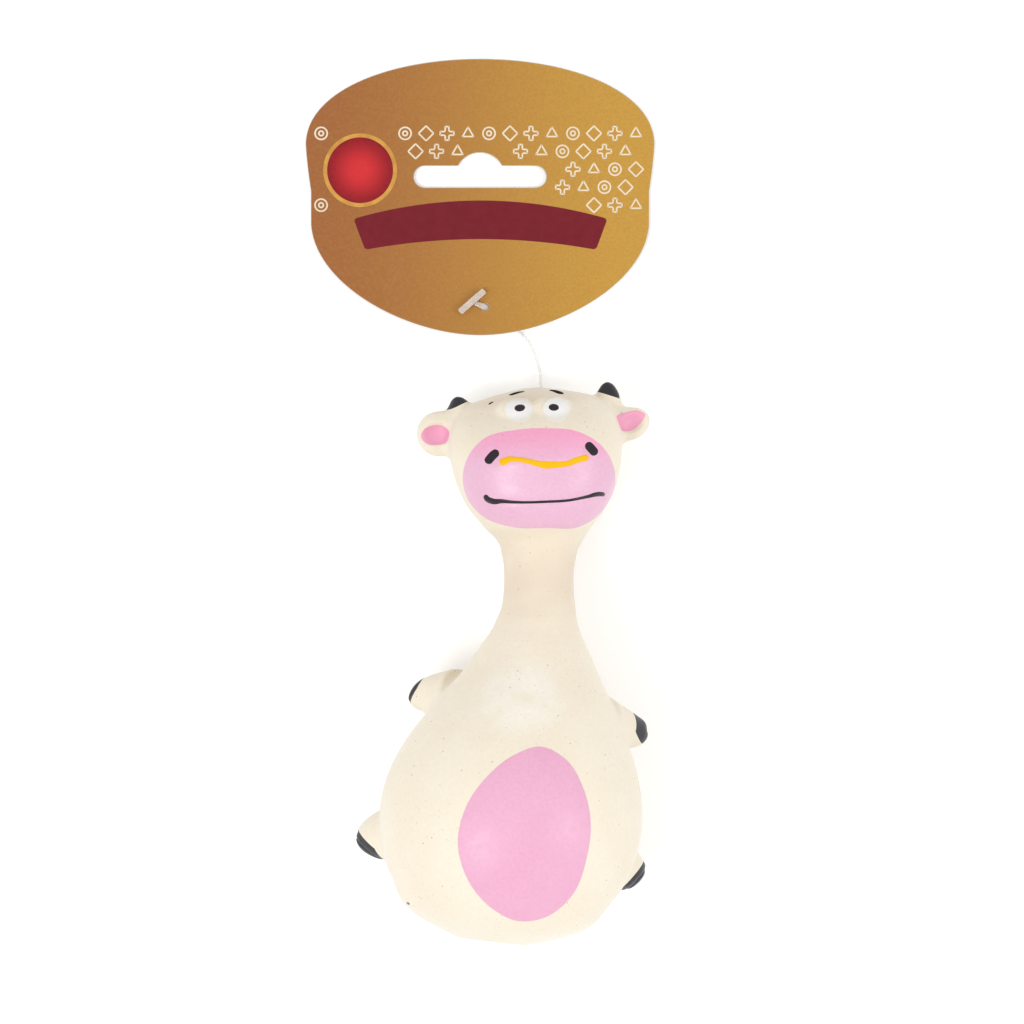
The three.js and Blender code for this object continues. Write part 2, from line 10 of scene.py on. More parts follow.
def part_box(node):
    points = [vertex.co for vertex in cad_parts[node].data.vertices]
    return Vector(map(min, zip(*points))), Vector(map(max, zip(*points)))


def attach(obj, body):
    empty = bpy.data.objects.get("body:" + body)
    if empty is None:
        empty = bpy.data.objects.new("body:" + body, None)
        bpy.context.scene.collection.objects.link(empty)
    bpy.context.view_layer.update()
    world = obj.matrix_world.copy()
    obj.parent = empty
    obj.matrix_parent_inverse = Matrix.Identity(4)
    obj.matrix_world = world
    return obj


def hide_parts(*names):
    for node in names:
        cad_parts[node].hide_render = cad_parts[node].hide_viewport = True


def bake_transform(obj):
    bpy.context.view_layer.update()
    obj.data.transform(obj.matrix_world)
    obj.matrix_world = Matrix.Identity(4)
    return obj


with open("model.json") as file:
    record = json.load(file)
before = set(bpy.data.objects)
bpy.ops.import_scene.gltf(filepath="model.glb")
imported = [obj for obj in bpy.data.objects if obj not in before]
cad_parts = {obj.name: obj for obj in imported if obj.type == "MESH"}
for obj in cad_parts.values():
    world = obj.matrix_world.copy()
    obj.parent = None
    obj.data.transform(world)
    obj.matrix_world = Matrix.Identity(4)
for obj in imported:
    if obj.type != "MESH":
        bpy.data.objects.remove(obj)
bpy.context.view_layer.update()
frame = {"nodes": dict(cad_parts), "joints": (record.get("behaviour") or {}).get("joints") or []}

# Sizes are in millimetres unless a name says otherwise.
# Directions across, along and front are a body's own axes.
MM = 0.001

# Camera, straight above. Places given in picture points are as it sees them,
# 1024 across from the left top corner.
PICTURE = 1024
CAMERA_AT = np.array([2.2, 35.3, 700.0])
VIEW_WIDTH = 247.5  # at the floor
SENSOR = 36.0
CLIP_START = 10.0

# Stage: floor and studio light. The floor is a little whiter where it is seen than where it lights the toy.
FLOOR = {"half": 3000.0, "level": -0.06, "white": 0.9, "seen_white": 0.98, "glow": 0.12}
SKY_STRENGTH = 0.84
LAMP_SIZE = 500.0
LAMPS = {
    "key": {"at": (-500, -300, 950), "aim": (10, 20, 20), "watts": 4.05},
    "side": {"at": (800, -100, 680), "aim": (0, 20, 20), "watts": 2.45},
}

# Torso, a pear of rings: (distance along, radius)
TORSO_RINGS = [
    (-27.3, 11.4), (-24.2, 18.3), (-16, 25.6), (-6, 29.7), (4, 30.3), (14, 27.8), (24, 22.6), (34, 16.1),
    (44, 10.5),
]
TORSO_FLATTEN = 0.955  # depth over width
SEAT = TORSO_RINGS[0][0]
SHOULDER = TORSO_RINGS[-1][0]
SEAT_EDGE = 3.2
SEAT_DOME = {"along": -29.1, "across": -1.5, "bow": 0.0095}
MOUTH_HOLE = {"radius": 7.0, "depth": 14.6, "edge": 1.2}  # where the squeaker shows in the seat

# Neck: radii at even steps between the torso and the head
NECK_RADII = [10.5, 8.75, 8.15, 8.25, 9.4]
# Places along the torso, and head heights, where the neck's middle line keeps to theirs
NECK_OVERLAP = {"torso": (34, 37, 40), "head": (2.6, 5.2)}

# Slow sideways sway of the hand-made form: (place along the picture, shift to the right)
BOW = [
    (-70, 0), (-62, 0), (-50, 0.25), (-36, 0.4), (-24, 0.65), (-12.6, 1.3), (-4, 1.65), (3, 1.3), (9, 0.7),
    (13, 0.4), (17, -0.25), (21, -0.75), (25, -1), (29, -0.8), (32.5, -0.1), (36, 0), (40, 0),
]

# Head sections: (height, half-width, front, back)
HEAD_SECTIONS = [
    (0, 9.4, 9.4, -9.4), (2.6, 10.9, 12, -11.8), (5, 13, 15, -14), (9.6, 16.5, 18.4, -17.2),
    (15.5, 19, 19.8, -19.6), (22.5, 20.2, 19.2, -20.5), (27, 20.0, 15.6, -19.9), (31, 18.3, 10.6, -17.8),
    (34.5, 14.2, 5, -14.2), (36.5, 7.8, -0.6, -10),
]
HEAD_SQUARENESS = 2.5
HEAD_TOP = 37.3
EYE_AT = (4.3, 32.2, 8.6)
EYE_SIZE = (3.6, 3.0, 1.7)
EYE_TILT = math.radians(50)
HORN_RADIUS = 3.3
HORN_BLUNTNESS = 0.6
HORN_EASE = 0.8
HORN_ROOT = 3.0  # how deep a horn starts
HORNS = {
    "left": {"at": (16.7, 30.6, -4.5), "lean": math.radians(11), "length": 6.1, "black_from": 3.5},
    "right": {"at": (17.8, 30.6, -4.5), "lean": math.radians(2), "length": 7.0, "black_from": 3.3},
}
HORN_PAINT_LEAN = math.radians(23)  # of the edge of the black paint
HORN_PAINT_REACH = 3.6  # how far from a horn's axis its paint goes
EAR_AT = (18.4, 28.0, -3.0)
EAR_MIDDLE = (4.1, 0.4, 0.0)
EARS = {
    "left": {
        "side": -1, "blade": (5.2, 5.3, 2.1), "dish": (3.6, 2.9, 1.8), "tilt": math.radians(-4), "drop": 0.5,
    },
    "right": {
        "side": 1, "blade": (4.9, 3.75, 2.1), "dish": (3.6, 2.4, 1.8), "tilt": math.radians(19), "drop": 1.35,
    },
}
EAR_DISH_AT = (0.4, 0.0, 2.3)
EAR_CUT = 20.6
FACE_FRONT = (2, 8)  # from where to where, towards the front, nose and lips stand out more and more
NOSE_SHELF = {"height": 19.4, "spread": 1.5, "half": 8.0, "rise": 0.35}
NOSTRILS = [(-10.3, 21.0), (11.8, 21.5)]
NOSTRIL_PIT = (1.3, 0.45)  # spread and depth
LIP_LINE = {"height": 10.2, "bow": 0.004, "spread": 0.7, "half": 13.0, "depth": 0.3}

# Limbs: heading across (outwards), along, front, radii at distances along them,
# and how far from a limb's axis its piece of skin spreads
LIMBS = {
    "arm": {
        "heading": (0.79, -0.05, -0.6), "length": 8.8, "reach": 7.0,
        "radii": [(-3, 7.0), (0, 6.2), (5, 4.5), (8.8, 3.3)],
    },
    "leg": {
        "heading": (0.8, -0.26, -0.54), "length": 10.1, "reach": 9.6,
        "radii": [(-3, 9.0), (0, 8.4), (3.9, 7.3), (7.5, 5.4), (10.1, 4.3)],
    },
}
# Each limb as it came out of the mould: its root's shift, and its thickness over the usual
LIMB_FIT = {
    "arm_left": ((0, 1.5, 0), 0.84), "arm_right": ((0.2, -0.8, 0), 0.82),
    "leg_left": ((-0.9, 0.3, 0), 0.77), "leg_right": ((-0.6, 0.1, 0), 0.73),
}
# Hooves: the way each one faces, how far from the limb's root it starts and its thickness
HOOVES = {
    "arm_left": {"sole": (-0.8, 0.5, -0.3), "from": 3.2, "thick": 3.8},
    "arm_right": {"sole": (0.86, 0.3, 0.22), "from": 5.25, "thick": 2.4},
    "leg_left": {"sole": (-0.43, -0.84, -0.28), "from": 4.1, "thick": 5.0},
    "leg_right": {"sole": (0.77, -0.53, -0.08), "from": 5.75, "thick": 3.0},
}
HOOF_RIDGE = {"share": 0.45, "spread": 0.3, "depth": 0.2}  # a shallow line round each hoof
CLEFT = (1.2, 1.8)  # width and depth
LIMB_ROOT = 5.0  # how deep a limb starts
LIMB_CUT = 2.2

# Where one form gives way to the next: from the shoulder on along the torso, and in head heights
NECK_JOIN = (-7, 1)
HEAD_JOIN = (-0.5, 5)
FACE_FROM = 3

# Smoothness of the joins between forms
JOIN = {
    "limb": 3.6, "ear": 2.6, "horn": 1.4, "eye": 2.0, "hoof": 4.0, "sole": 2.2, "floor": 0.5, "crown": 2.5,
    "tip": 1.0, "root": 1.0, "dish": 0.7, "cleft": 0.7, "horn_paint": 1.5,
}

# Cuts between the pieces of skin
NECK_CUT = 42.0  # along the torso
HEAD_CUT = -10.0  # head height

# Mesh steps, the room left round a piece, and the longest distance from the skin that matters
STEP = {"torso": 0.62, "belly": 0.6, "limb": 0.38, "head": 0.45, "ear": 0.34, "card": 2.5, "print": 3.0}
BOX_MARGIN = 4.0
LIMB_MARGIN = 5.0
FAR = 30.0
SETTLE = {"least_slope": 0.05, "longest": 1.0}  # of moves onto the skin
SIGHT = {"from": 62.0, "steps": 70, "share": 0.7, "back": -0.4, "ahead": 3.0}  # of lines of sight to the skin
SHARP_ANGLE = math.radians(35)

# Painted outlines in picture points
BELLY_PAINT = [
    (541, 746.6), (514, 755), (488, 775.5), (466, 807), (457.8, 841.5), (466, 876), (492, 908.5), (518, 921),
    (546, 917), (572, 895.5), (587, 856.6), (590.8, 826), (584, 790), (565.5, 759),
]
MUZZLE_PAINT = [
    (548, 428.3), (577, 431.3), (602.4, 446.6), (615.1, 473.8), (611.7, 497), (598, 515.5), (577, 527.4),
    (548, 528), (510, 526.6), (483, 516.4), (467, 497.7), (462.9, 475.5), (469, 455), (485, 438),
    (515.6, 430),
]
EAR_PAINT = {
    "left": [
        (450, 434), (443, 426), (433, 425.5), (423.5, 430), (421, 437), (426, 443.5), (436, 445), (447, 442),
    ],
    "right": [
        (613.6, 420.4), (617, 415.6), (626, 412.4), (638.6, 410.8), (645, 414.6), (641, 422.4), (633, 429.6),
        (626, 431.4), (618.8, 429.2), (614.6, 424.6),
    ],
}

# Painted strokes: (across, down, width) in picture points
MOUTH = [
    (484.6, 494.4, 5.6), (487.6, 498.8, 6.6), (493.4, 501.2, 6.8), (502, 501, 5), (511, 501.7, 3.8),
    (520, 502.1, 3.3), (545, 501.6, 3.3), (570, 500, 3.3), (587, 496.5, 4), (598, 494, 5.4),
    (605.2, 494.3, 5),
]
GOLD_RING = [
    (499, 463, 7), (504, 461.6, 7.6), (508.4, 459.6, 7), (514, 459.3, 5.6), (526, 460.8, 5.4),
    (537, 463.4, 6.4), (546, 465, 8), (553, 464.8, 7.2), (560, 464.4, 6.2), (568, 463.4, 6.4),
    (577, 460, 6.6), (588.8, 457, 7),
]
BROWS = [
    [(510, 395.4, 6.5), (516, 393, 7.5), (524.6, 391.3, 5)],
    [(549.8, 389.8, 5), (556, 391.2, 7.5), (562.6, 394.2, 6.5)],
]
DASH = [(488.8, 404.6, 2.2), (491, 402.9, 2.8), (493.4, 401.8, 2)]
MARK = [(406.6, 902.6, 1.6), (408.4, 903.6, 2), (409.6, 904.6, 1.4)]
NOSTRIL_PAINT = [
    [(486, 464.9, 10.2), (489.6, 459.4, 11), (494.6, 454.2, 10.8), (500, 450.7, 9)],
    [(584.8, 442.2, 9.4), (588.4, 445.8, 11), (592.6, 450.4, 11.2), (597.2, 456, 10.2)],
]
STROKE = {"step": 0.9, "least": 14, "across": 9}  # picture points between rows, least rows, points in a row

# Painted spots: (across, down, half-width, half-height) in picture points and a turn in degrees
EYE_PAINT = {"left": (518.6, 409.2, 15.2, 12.8, 0), "right": (556.4, 408.8, 14.8, 12.8, 0)}
PUPIL_PAINT = {"left": (519.8, 408.0, 5.4, 3.6, -8), "right": (553.8, 407.4, 5.2, 3.5, 4)}
EYE_RINGS = (0.03, 0.2, 0.4, 0.55, 0.65, 0.75, 0.85, 0.93, 1.0)
PUPIL_RINGS = (0.03, 0.3, 0.55, 0.75, 0.9, 1.0)

PAINT_RISE = {
    "film": 0.09, "ear": 0.2, "mouth": 0.28, "ring": 0.38, "brow": 0.1, "dash": 0.08, "nostril": 0.2,
    "mark": 0.05, "pupil": 0.1, "eye": 0.03,
}
PAINT_ROOT = 0.12  # how far paint reaches into the skin
PAINT_EDGE = (0.02, 0.5)  # a film's rise at its edge, and how far from there it is full
# Heights above the floor that paint keeps between, its rounding there, and its least upward slope
MUZZLE_SPREAD = {"lowest": 22.0, "corner": 3.5}
EAR_SPREAD = {"lowest": 15.4, "highest": 20.8, "corner": 1.5, "facing": -0.4}
CHEST_PALE_PLACE = {"at": (3.8, -6.5, 44.0), "inner": 4.0, "outer": 14.0}  # a paler place on the chest
NECK_TINT = (4, 18, 24, 36)  # along the picture, a warmer tint starts, is full, is still full and ends
MUZZLE_SHADE_RAMP = (45, 55.5)  # along the picture, where the muzzle's pink starts to deepen towards its top and where it has deepened: partly the paint's own tone, partly painted shade where the top turns away from the lamps

# Header card, in its own plane from the pin hole: across and up
CARD = {
    "half": 42.1, "waist": 40.8, "top": 60.0, "shoulder": 39.3, "side_top": 28.0, "side_bottom": 20.0,
    "bottom": -6.8, "across": -1.2, "thick": 0.5, "hole": 0.9, "edge": 0.12,
}
CARD_BULGE = {"crown": 0.53, "swell": 0.62, "chin": 0.41, "jaw": 0.56}
SLOT = {"half": 16.0, "end": 2.65, "hump": 3.2, "hump_half": 5.25, "rise": 31.5}
CARD_LEVEL = 1.7  # height of the card's face above the floor, for places in picture points

# The card's print, in picture points
BANNER = {
    "left": 353.5, "right": 607.5, "side": 218.7, "crown": 200.4, "inset": 11.5, "corner": 4.0,
    "side_tall": 31.0, "crown_tall": 38.6,
}
BADGE = (360.0, 170.0, 37.0)
BADGE_RIM = 4.0
MOTIF_ROWS = (133.0, 151.0, 169.0, 187.0, 205.0)
MOTIF_PITCH = 21.0
MOTIF_SPAN = (321.0, 645.0)
MOTIF_SIZE = 6.9
MOTIF_LINE = 1.6
MOTIF_CLEAR = {"badge": 9.0, "banner": 8.0, "edge": 2.0}  # the last one in millimetres
PRINT_RISE = {"motif": 0.03, "banner": 0.04, "rim": 0.05, "badge": 0.06}
PRINT_ROOT = 0.1  # how far print reaches into the card

# Tag pin: the filament's line from the head to the bar on the card, and the bar
FILAMENT_RADIUS = 0.35
FILAMENT_ROUTE = [
    (9.3, 62.05, 5.05), (9.25, 63.3, 3.9), (9.2, 65.4, 2.6), (9.0, 68.4, 1.5), (8.3, 71.8, 0.88),
    (7.0, 75.0, 0.68), (4.9, 78.0, 0.6), (2.0, 80.8, 0.57), (-1.2, 82.9, 0.55), (-2.4, 83.65, 0.58),
    (-3.4, 84.2, 0.84), (-4.3, 84.65, 1.4), (-5.2, 85.0, 2.1), (-6.1, 85.3, 2.8),
]
# Places and radii of the foot of the pin's bar
COLLAR = [
    ((-4.3, 84.68, 0.9), 0.7), ((-4.3, 84.7, 1.75), 0.78), ((-4.8, 84.9, 2.15), 0.72),
    ((-5.7, 85.2, 2.5), 0.62), ((-6.6, 85.55, 2.8), 0.5),
]
TAG_BAR = {
    "at": (-7.4, 86.0, 3.0), "length": 8.0, "half": 0.8, "thick": 1.0, "turn": math.radians(41), "round": 0.6,
    "groove": 0.6, "taper": 0.45,
}

# CAD pieces that stay as they are, in the plastic of the squeaker
PLASTIC_NODES = ("squeaker_cup", "squeaker_lock_ring", "reed_trough", "reed_clip", "squeaker_cap")


def unit(vector):
    vector = np.asarray(vector, float)
    return vector / np.linalg.norm(vector, axis=-1, keepdims=True)


def joint(name):
    return next(j for j in frame["joints"] if j["name"] == name)


def joint_at(name):
    return np.array(joint(name)["pos_m"]) / MM


# The bodies' own axes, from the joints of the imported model
torso_front = -unit(joint("belly_squeeze")["axis"])
torso_across = unit(joint("reed_vibrate")["axis"])
torso_along = np.cross(torso_front, torso_across)
TORSO_AXES = np.array([torso_across, torso_along, torso_front])
TORSO_AT = joint_at("neck_sway") - SHOULDER * torso_along
head_across = unit(joint("head_nod")["axis"])
if head_across[0] < 0:
    head_across = -head_across
head_up = unit(joint("ear_right_flex")["axis"])
if head_up[1] < 0:
    head_up = -head_up
HEAD_AXES = np.array([head_across, head_up, np.cross(head_across, head_up)])
HEAD_AT = joint_at("head_nod")


def in_torso(points):
    return (points - TORSO_AT) @ TORSO_AXES.T


def from_torso(place):
    return TORSO_AT + np.asarray(place, float) @ TORSO_AXES


def in_head(points):
    return (points - HEAD_AT) @ HEAD_AXES.T


def from_head(place):
    return HEAD_AT + np.asarray(place, float) @ HEAD_AXES


def smooth_step(low, high, value):
    share = np.clip((value - low) / (high - low), 0, 1)
    return share * share * (3 - 2 * share)


def smooth_min(a, b, width):
    share = np.clip(0.5 + 0.5 * (b - a) / width, 0, 1)
    return b + (a - b) * share - width * share * (1 - share)


def smooth_max(a, b, width):
    return -smooth_min(-a, -b, width)


def smooth_curve(knots):
    """A smooth function through (place, value) knots, straight beyond its ends."""
    places, values = np.array(knots, float).T
    slopes = np.gradient(values, places)

    def at(place):
        inner = np.clip(place, places[0], places[-1])
        i = np.clip(np.searchsorted(places, inner) - 1, 0, len(places) - 2)
        span = places[i + 1] - places[i]
        t = (inner - places[i]) / span
        start = (1 + 2 * t) * (1 - t) ** 2 * values[i] + t * (1 - t) ** 2 * span * slopes[i]
        end = t * t * (3 - 2 * t) * values[i + 1] + t * t * (t - 1) * span * slopes[i + 1]
        beyond = np.where(place < places[0], slopes[0], slopes[-1]) * (place - inner)
        return start + end + beyond

    return at


def slope_of(curve, place, step=0.25):
    return (curve(place + step) - curve(place - step)) / (2 * step)


torso_radius = smooth_curve(TORSO_RINGS)
bow = smooth_curve(BOW)
head_half = smooth_curve([(h, w) for h, w, f, b in HEAD_SECTIONS])
head_front = smooth_curve([(h, f) for h, w, f, b in HEAD_SECTIONS])
head_back = smooth_curve([(h, b) for h, w, f, b in HEAD_SECTIONS])


def neck_spine():
    """The neck's middle line and radius as functions of the distance along its chord."""
    low, high = joint_at("neck_sway"), HEAD_AT
    pull = ((high - low) @ torso_along) / 3
    bends = [low, low + pull * torso_along, high - pull * head_up, high]
    radius = smooth_curve([(i / (len(NECK_RADII) - 1), r) for i, r in enumerate(NECK_RADII)])
    line = [(from_torso((0, s, 0)), float(torso_radius(s)), TORSO_FLATTEN) for s in NECK_OVERLAP["torso"]]
    for t in np.linspace(0, 1, 9):
        weights = [(1 - t) ** 3, 3 * t * (1 - t) ** 2, 3 * t * t * (1 - t), t ** 3]
        place = sum(w * b for w, b in zip(weights, bends))
        line.append((place, float(radius(t)), TORSO_FLATTEN + (1 - TORSO_FLATTEN) * t))
    line += [(from_head((0, h, 0)), float(head_half(h)), 1.0) for h in NECK_OVERLAP["head"]]
    start = line[0][0]
    chord = unit(line[-1][0] - start)
    across = unit(torso_across - (torso_across @ chord) * chord)
    axes = np.array([across, chord, np.cross(across, chord)])
    places = np.array([(p - start) @ axes.T for p, r, f in line])
    knots = places[:, 1]
    curves = [smooth_curve(list(zip(knots, places[:, 0]))), smooth_curve(list(zip(knots, places[:, 2])))]
    curves.append(smooth_curve([(k, r) for k, (p, r, f) in zip(knots, line)]))
    curves.append(smooth_curve([(k, f) for k, (p, r, f) in zip(knots, line)]))
    return start, axes, curves


NECK_START, NECK_AXES, NECK_CURVES = neck_spine()


def torso_level(place):
    across, along, front = place.T
    radius = torso_radius(along)
    side = np.hypot(across, front / TORSO_FLATTEN) - radius
    side = side / np.sqrt(1 + slope_of(torso_radius, along) ** 2)
    dome = SEAT_DOME["along"] + SEAT_DOME["bow"] * ((across - SEAT_DOME["across"]) ** 2 + front ** 2)
    return smooth_max(side, dome - along, SEAT_EDGE)


def neck_level(points):
    across, along, front = ((points - NECK_START) @ NECK_AXES.T).T
    line_across, line_front, radius, flatten = (curve(along) for curve in NECK_CURVES)
    reach = np.hypot(across - line_across, (front - line_front) / flatten)
    return (reach - radius) / np.sqrt(1 + slope_of(NECK_CURVES[2], along) ** 2)


def head_share(across, height, front):
    """How far out a place is, as a share of the head's section there, and the section's own slope."""
    half = np.maximum(head_half(height), 1)
    low, high = head_back(height), head_front(height)
    deep = np.maximum((high - low) / 2, 1)
    u = np.abs(across) / half
    v = np.abs(front - (high + low) / 2) / deep
    share = np.maximum((u ** HEAD_SQUARENESS + v ** HEAD_SQUARENESS) ** (1 / HEAD_SQUARENESS), 1e-3)
    power = HEAD_SQUARENESS - 1
    return share, np.hypot((u / share) ** power / half, (v / share) ** power / deep)


def head_level(place):
    across, height, front = place.T
    share, flat_slope = head_share(across, height, front)
    step = 0.2
    above, below = (head_share(across, height + shift, front)[0] for shift in (step, -step))
    side = (share - 1) / np.hypot(flat_slope, (above - below) / (2 * step))
    return smooth_max(np.clip(side, -FAR, FAR), height - HEAD_TOP, JOIN["crown"])


def ellipsoid(place, size):
    size = np.asarray(size, float)
    first = np.linalg.norm(place / size, axis=1)
    second = np.linalg.norm(place / size ** 2, axis=1)
    return first * (first - 1) / np.maximum(second, 1e-6)


def turned(place, angle, a, b):
    """Places turned about the axis that is neither a nor b."""
    made = place.copy()
    made[:, a] = place[:, a] * math.cos(angle) - place[:, b] * math.sin(angle)
    made[:, b] = place[:, a] * math.sin(angle) + place[:, b] * math.cos(angle)
    return made


def horn_place(place, end):
    """Distance along a horn from its root, and out from its axis."""
    local = place * (EARS[end]["side"], 1, 1) - HORNS[end]["at"]
    lean = HORNS[end]["lean"]
    axis = np.array([math.sin(lean), math.cos(lean), 0])
    along = local @ axis
    return along, np.linalg.norm(local - along[:, None] * axis, axis=1)


def horn_level(place, end):
    length = HORNS[end]["length"]
    along, out = horn_place(place, end)
    share = np.clip(along / length, 0, 1)
    radius = HORN_RADIUS * np.maximum(1 - share ** 2, 0.02) ** HORN_BLUNTNESS
    level = smooth_max(HORN_EASE * (out - radius), along - length, JOIN["tip"])
    return smooth_max(level, -HORN_ROOT - along, JOIN["root"])


def ear_level(place, ear):
    local = place * (ear["side"], 1, 1) - EAR_AT - EAR_MIDDLE + (0, ear["drop"], 0)
    local = turned(local, -ear["tilt"], 0, 1)
    dish = ellipsoid(local - EAR_DISH_AT, ear["dish"])
    return smooth_max(ellipsoid(local, ear["blade"]), -dish, JOIN["dish"])


def face_level(place, level):
    """The head with its eyes, horns, ears, nose and lips."""
    across, height, front = place.T
    before = smooth_step(*FACE_FRONT, front)
    shelf = NOSE_SHELF
    ridge = np.exp(-(((height - shelf["height"]) / shelf["spread"]) ** 2) - (across / shelf["half"]) ** 4)
    level = level - shelf["rise"] * ridge * before
    lip = LIP_LINE
    away = (height - lip["height"] - lip["bow"] * across ** 2) / lip["spread"]
    level = level + lip["depth"] * np.exp(-(away ** 2) - (across / lip["half"]) ** 6) * before
    for nostril in NOSTRILS:
        reach = np.hypot(across - nostril[0], height - nostril[1]) / NOSTRIL_PIT[0]
        level = level + NOSTRIL_PIT[1] * np.exp(-(reach ** 2)) * before
    for end, ear in EARS.items():
        eye = turned(place * (ear["side"], 1, 1) - EYE_AT, EYE_TILT, 1, 2)
        level = smooth_min(level, ellipsoid(eye, EYE_SIZE), JOIN["eye"])
        level = smooth_min(level, horn_level(place, end), JOIN["horn"])
        level = smooth_min(level, ear_level(place, ear), JOIN["ear"])
    return level


def make_limbs():
    made = {}
    for kind, limb in LIMBS.items():
        for end, side in (("left", -1), ("right", 1)):
            name = f"{kind}_{end}"
            shift, share = LIMB_FIT[name]
            heading = unit(limb["heading"]) * (side, 1, 1)
            turn = Vector((0, 1, 0)).rotation_difference(Vector(heading))
            made[name] = {
                **limb,
                "root": in_torso(joint_at(f"{name}_flex")) + shift,
                "heading": heading,
                "split": np.array(turn @ Vector((1, 0, 0))),
                "radius": smooth_curve([(at, radius * share) for at, radius in limb["radii"]]),
                "sole": unit(HOOVES[name]["sole"]),
                "hoof_from": HOOVES[name]["from"],
                "hoof_thick": HOOVES[name]["thick"],
            }
    return made


ALL_LIMBS = make_limbs()


def limb_place(place, limb):
    """Distance along a limb from its root, out from its axis, and to the side of its cleft."""
    local = place - limb["root"]
    along = local @ limb["heading"]
    return along, np.linalg.norm(local - along[:, None] * limb["heading"], axis=1), local @ limb["split"]


def limb_level(place, limb):
    along, out, beside = limb_place(place, limb)
    level = smooth_max(out - limb["radius"](along), along - limb["length"], JOIN["hoof"])
    level = smooth_max(level, -LIMB_ROOT - along, JOIN["root"])
    past = (place - limb["root"]) @ limb["sole"] - limb["hoof_from"]
    level = smooth_max(level, past - limb["hoof_thick"], JOIN["sole"])
    ridge = (past - HOOF_RIDGE["share"] * limb["hoof_thick"]) / HOOF_RIDGE["spread"]
    level = level + HOOF_RIDGE["depth"] * np.exp(-ridge ** 2)
    groove = np.maximum(np.abs(beside) - CLEFT[0] / 2, limb["length"] - CLEFT[1] - along)
    return smooth_max(level, -groove, JOIN["cleft"])


def skin(points):
    """Distance from the toy's skin, below zero inside."""
    none = np.zeros(len(points))
    points = points - np.stack([bow(points[:, 1]), none, none], 1)
    place = in_torso(points)
    head_place = in_head(points)
    along, height = place[:, 1], head_place[:, 1]
    level = torso_level(place)
    upper = along > SHOULDER + NECK_JOIN[0]
    if upper.any():
        share = smooth_step(SHOULDER + NECK_JOIN[0], SHOULDER + NECK_JOIN[1], along[upper])
        level[upper] += (neck_level(points[upper]) - level[upper]) * share
    top = height > HEAD_JOIN[0]
    if top.any():
        share = smooth_step(*HEAD_JOIN, height[top])
        level[top] += (head_level(head_place[top]) - level[top]) * share
    face = height > FACE_FROM
    if face.any():
        level[face] = face_level(head_place[face], level[face])
    lower = along < SHOULDER
    if lower.any():
        inner = level[lower]
        for limb in ALL_LIMBS.values():
            inner = smooth_min(inner, limb_level(place[lower], limb), JOIN["limb"])
        out = np.hypot(place[lower, 0], place[lower, 2])
        hole = np.maximum(out - MOUTH_HOLE["radius"], along[lower] - SEAT - MOUTH_HOLE["depth"])
        level[lower] = smooth_max(inner, -hole, MOUTH_HOLE["edge"])
    return smooth_max(level, -points[:, 2], JOIN["floor"])


def skin_slope(points, step=0.06):
    made = np.empty_like(points)
    for axis in range(3):
        shift = np.zeros(3)
        shift[axis] = step
        made[:, axis] = (skin(points + shift) - skin(points - shift)) / (2 * step)
    return made


def settled(points, rounds=3):
    """Points moved onto the skin."""
    for _ in range(rounds):
        slope = skin_slope(points)
        size = np.maximum((slope ** 2).sum(1), SETTLE["least_slope"])
        move = np.clip(skin(points) / size, -SETTLE["longest"], SETTLE["longest"])
        points = points - move[:, None] * slope
    return points


def sampled(low, high, step):
    """Skin distances on a grid of steps.

    Far from the skin only the sign counts, so the places in a block share one value there."""
    block = 4
    count = np.ceil((high - low) / (step * block)).astype(int)
    middles = [low[a] + step * (np.arange(count[a]) * block + (block - 1) / 2) for a in range(3)]
    coarse = skin(np.stack(np.meshgrid(*middles, indexing="ij"), -1).reshape(-1, 3)).reshape(count)
    near = np.abs(coarse) < 1.5 * block * step
    for axis in range(3):
        coarse = np.repeat(coarse, block, axis)
        near = np.repeat(near, block, axis)
    coarse[near] = skin(low + np.argwhere(near) * step)
    return coarse


def surface_net(values):
    """Corners, in steps, and quads of the zero surface of a grid of values."""
    cells = np.array(values.shape) - 1
    total = np.zeros((*cells, 3))
    count = np.zeros(cells)
    for axis in range(3):
        others = [a for a in range(3) if a != axis]
        moved = np.moveaxis(values, axis, 0)
        crossed = (moved[:-1] < 0) != (moved[1:] < 0)
        share = np.where(crossed, moved[:-1] / np.where(crossed, moved[:-1] - moved[1:], 1), 0)
        sums = np.moveaxis(total, axis, 0)
        counts = np.moveaxis(count, axis, 0)
        for j in (0, 1):
            for k in (0, 1):
                part = (slice(None), slice(j, j + cells[others[0]]), slice(k, k + cells[others[1]]))
                sums[..., axis] += share[part]
                sums[..., others[0]] += j * crossed[part]
                sums[..., others[1]] += k * crossed[part]
                counts += crossed[part]
    filled = count > 0
    number = np.full(cells, -1)
    number[filled] = np.arange(filled.sum())
    corners = np.argwhere(filled) + total[filled] / count[filled][:, None]
    quads = []
    for axis in range(3):
        others = [a for a in range(3) if a != axis]
        moved = np.moveaxis(values, axis, 0)
        numbers = np.moveaxis(number, axis, 0)
        inner = (slice(None), slice(1, -1), slice(1, -1))
        start, end = moved[:-1][inner], moved[1:][inner]
        for rising in (True, False):
            hit = (start < 0) & (end >= 0) if rising else (start >= 0) & (end < 0)
            i, j, k = np.nonzero(hit)
            ring = [numbers[i, j, k], numbers[i, j + 1, k], numbers[i, j + 1, k + 1], numbers[i, j, k + 1]]
            if rising == (axis == 1):
                ring.reverse()
            quads.append(np.stack(ring, 1))
    return corners, np.concatenate(quads)


def in_triangles(points, quads):
    """Quads cut along their shorter diagonal."""
    a, b, c, d = quads.T
    first = np.linalg.norm(points[a] - points[c], axis=1) <= np.linalg.norm(points[b] - points[d], axis=1)
    one = np.where(first[:, None], np.stack([a, b, c], 1), np.stack([a, b, d], 1))
    two = np.where(first[:, None], np.stack([a, c, d], 1), np.stack([b, c, d], 1))
    return np.concatenate([one, two])


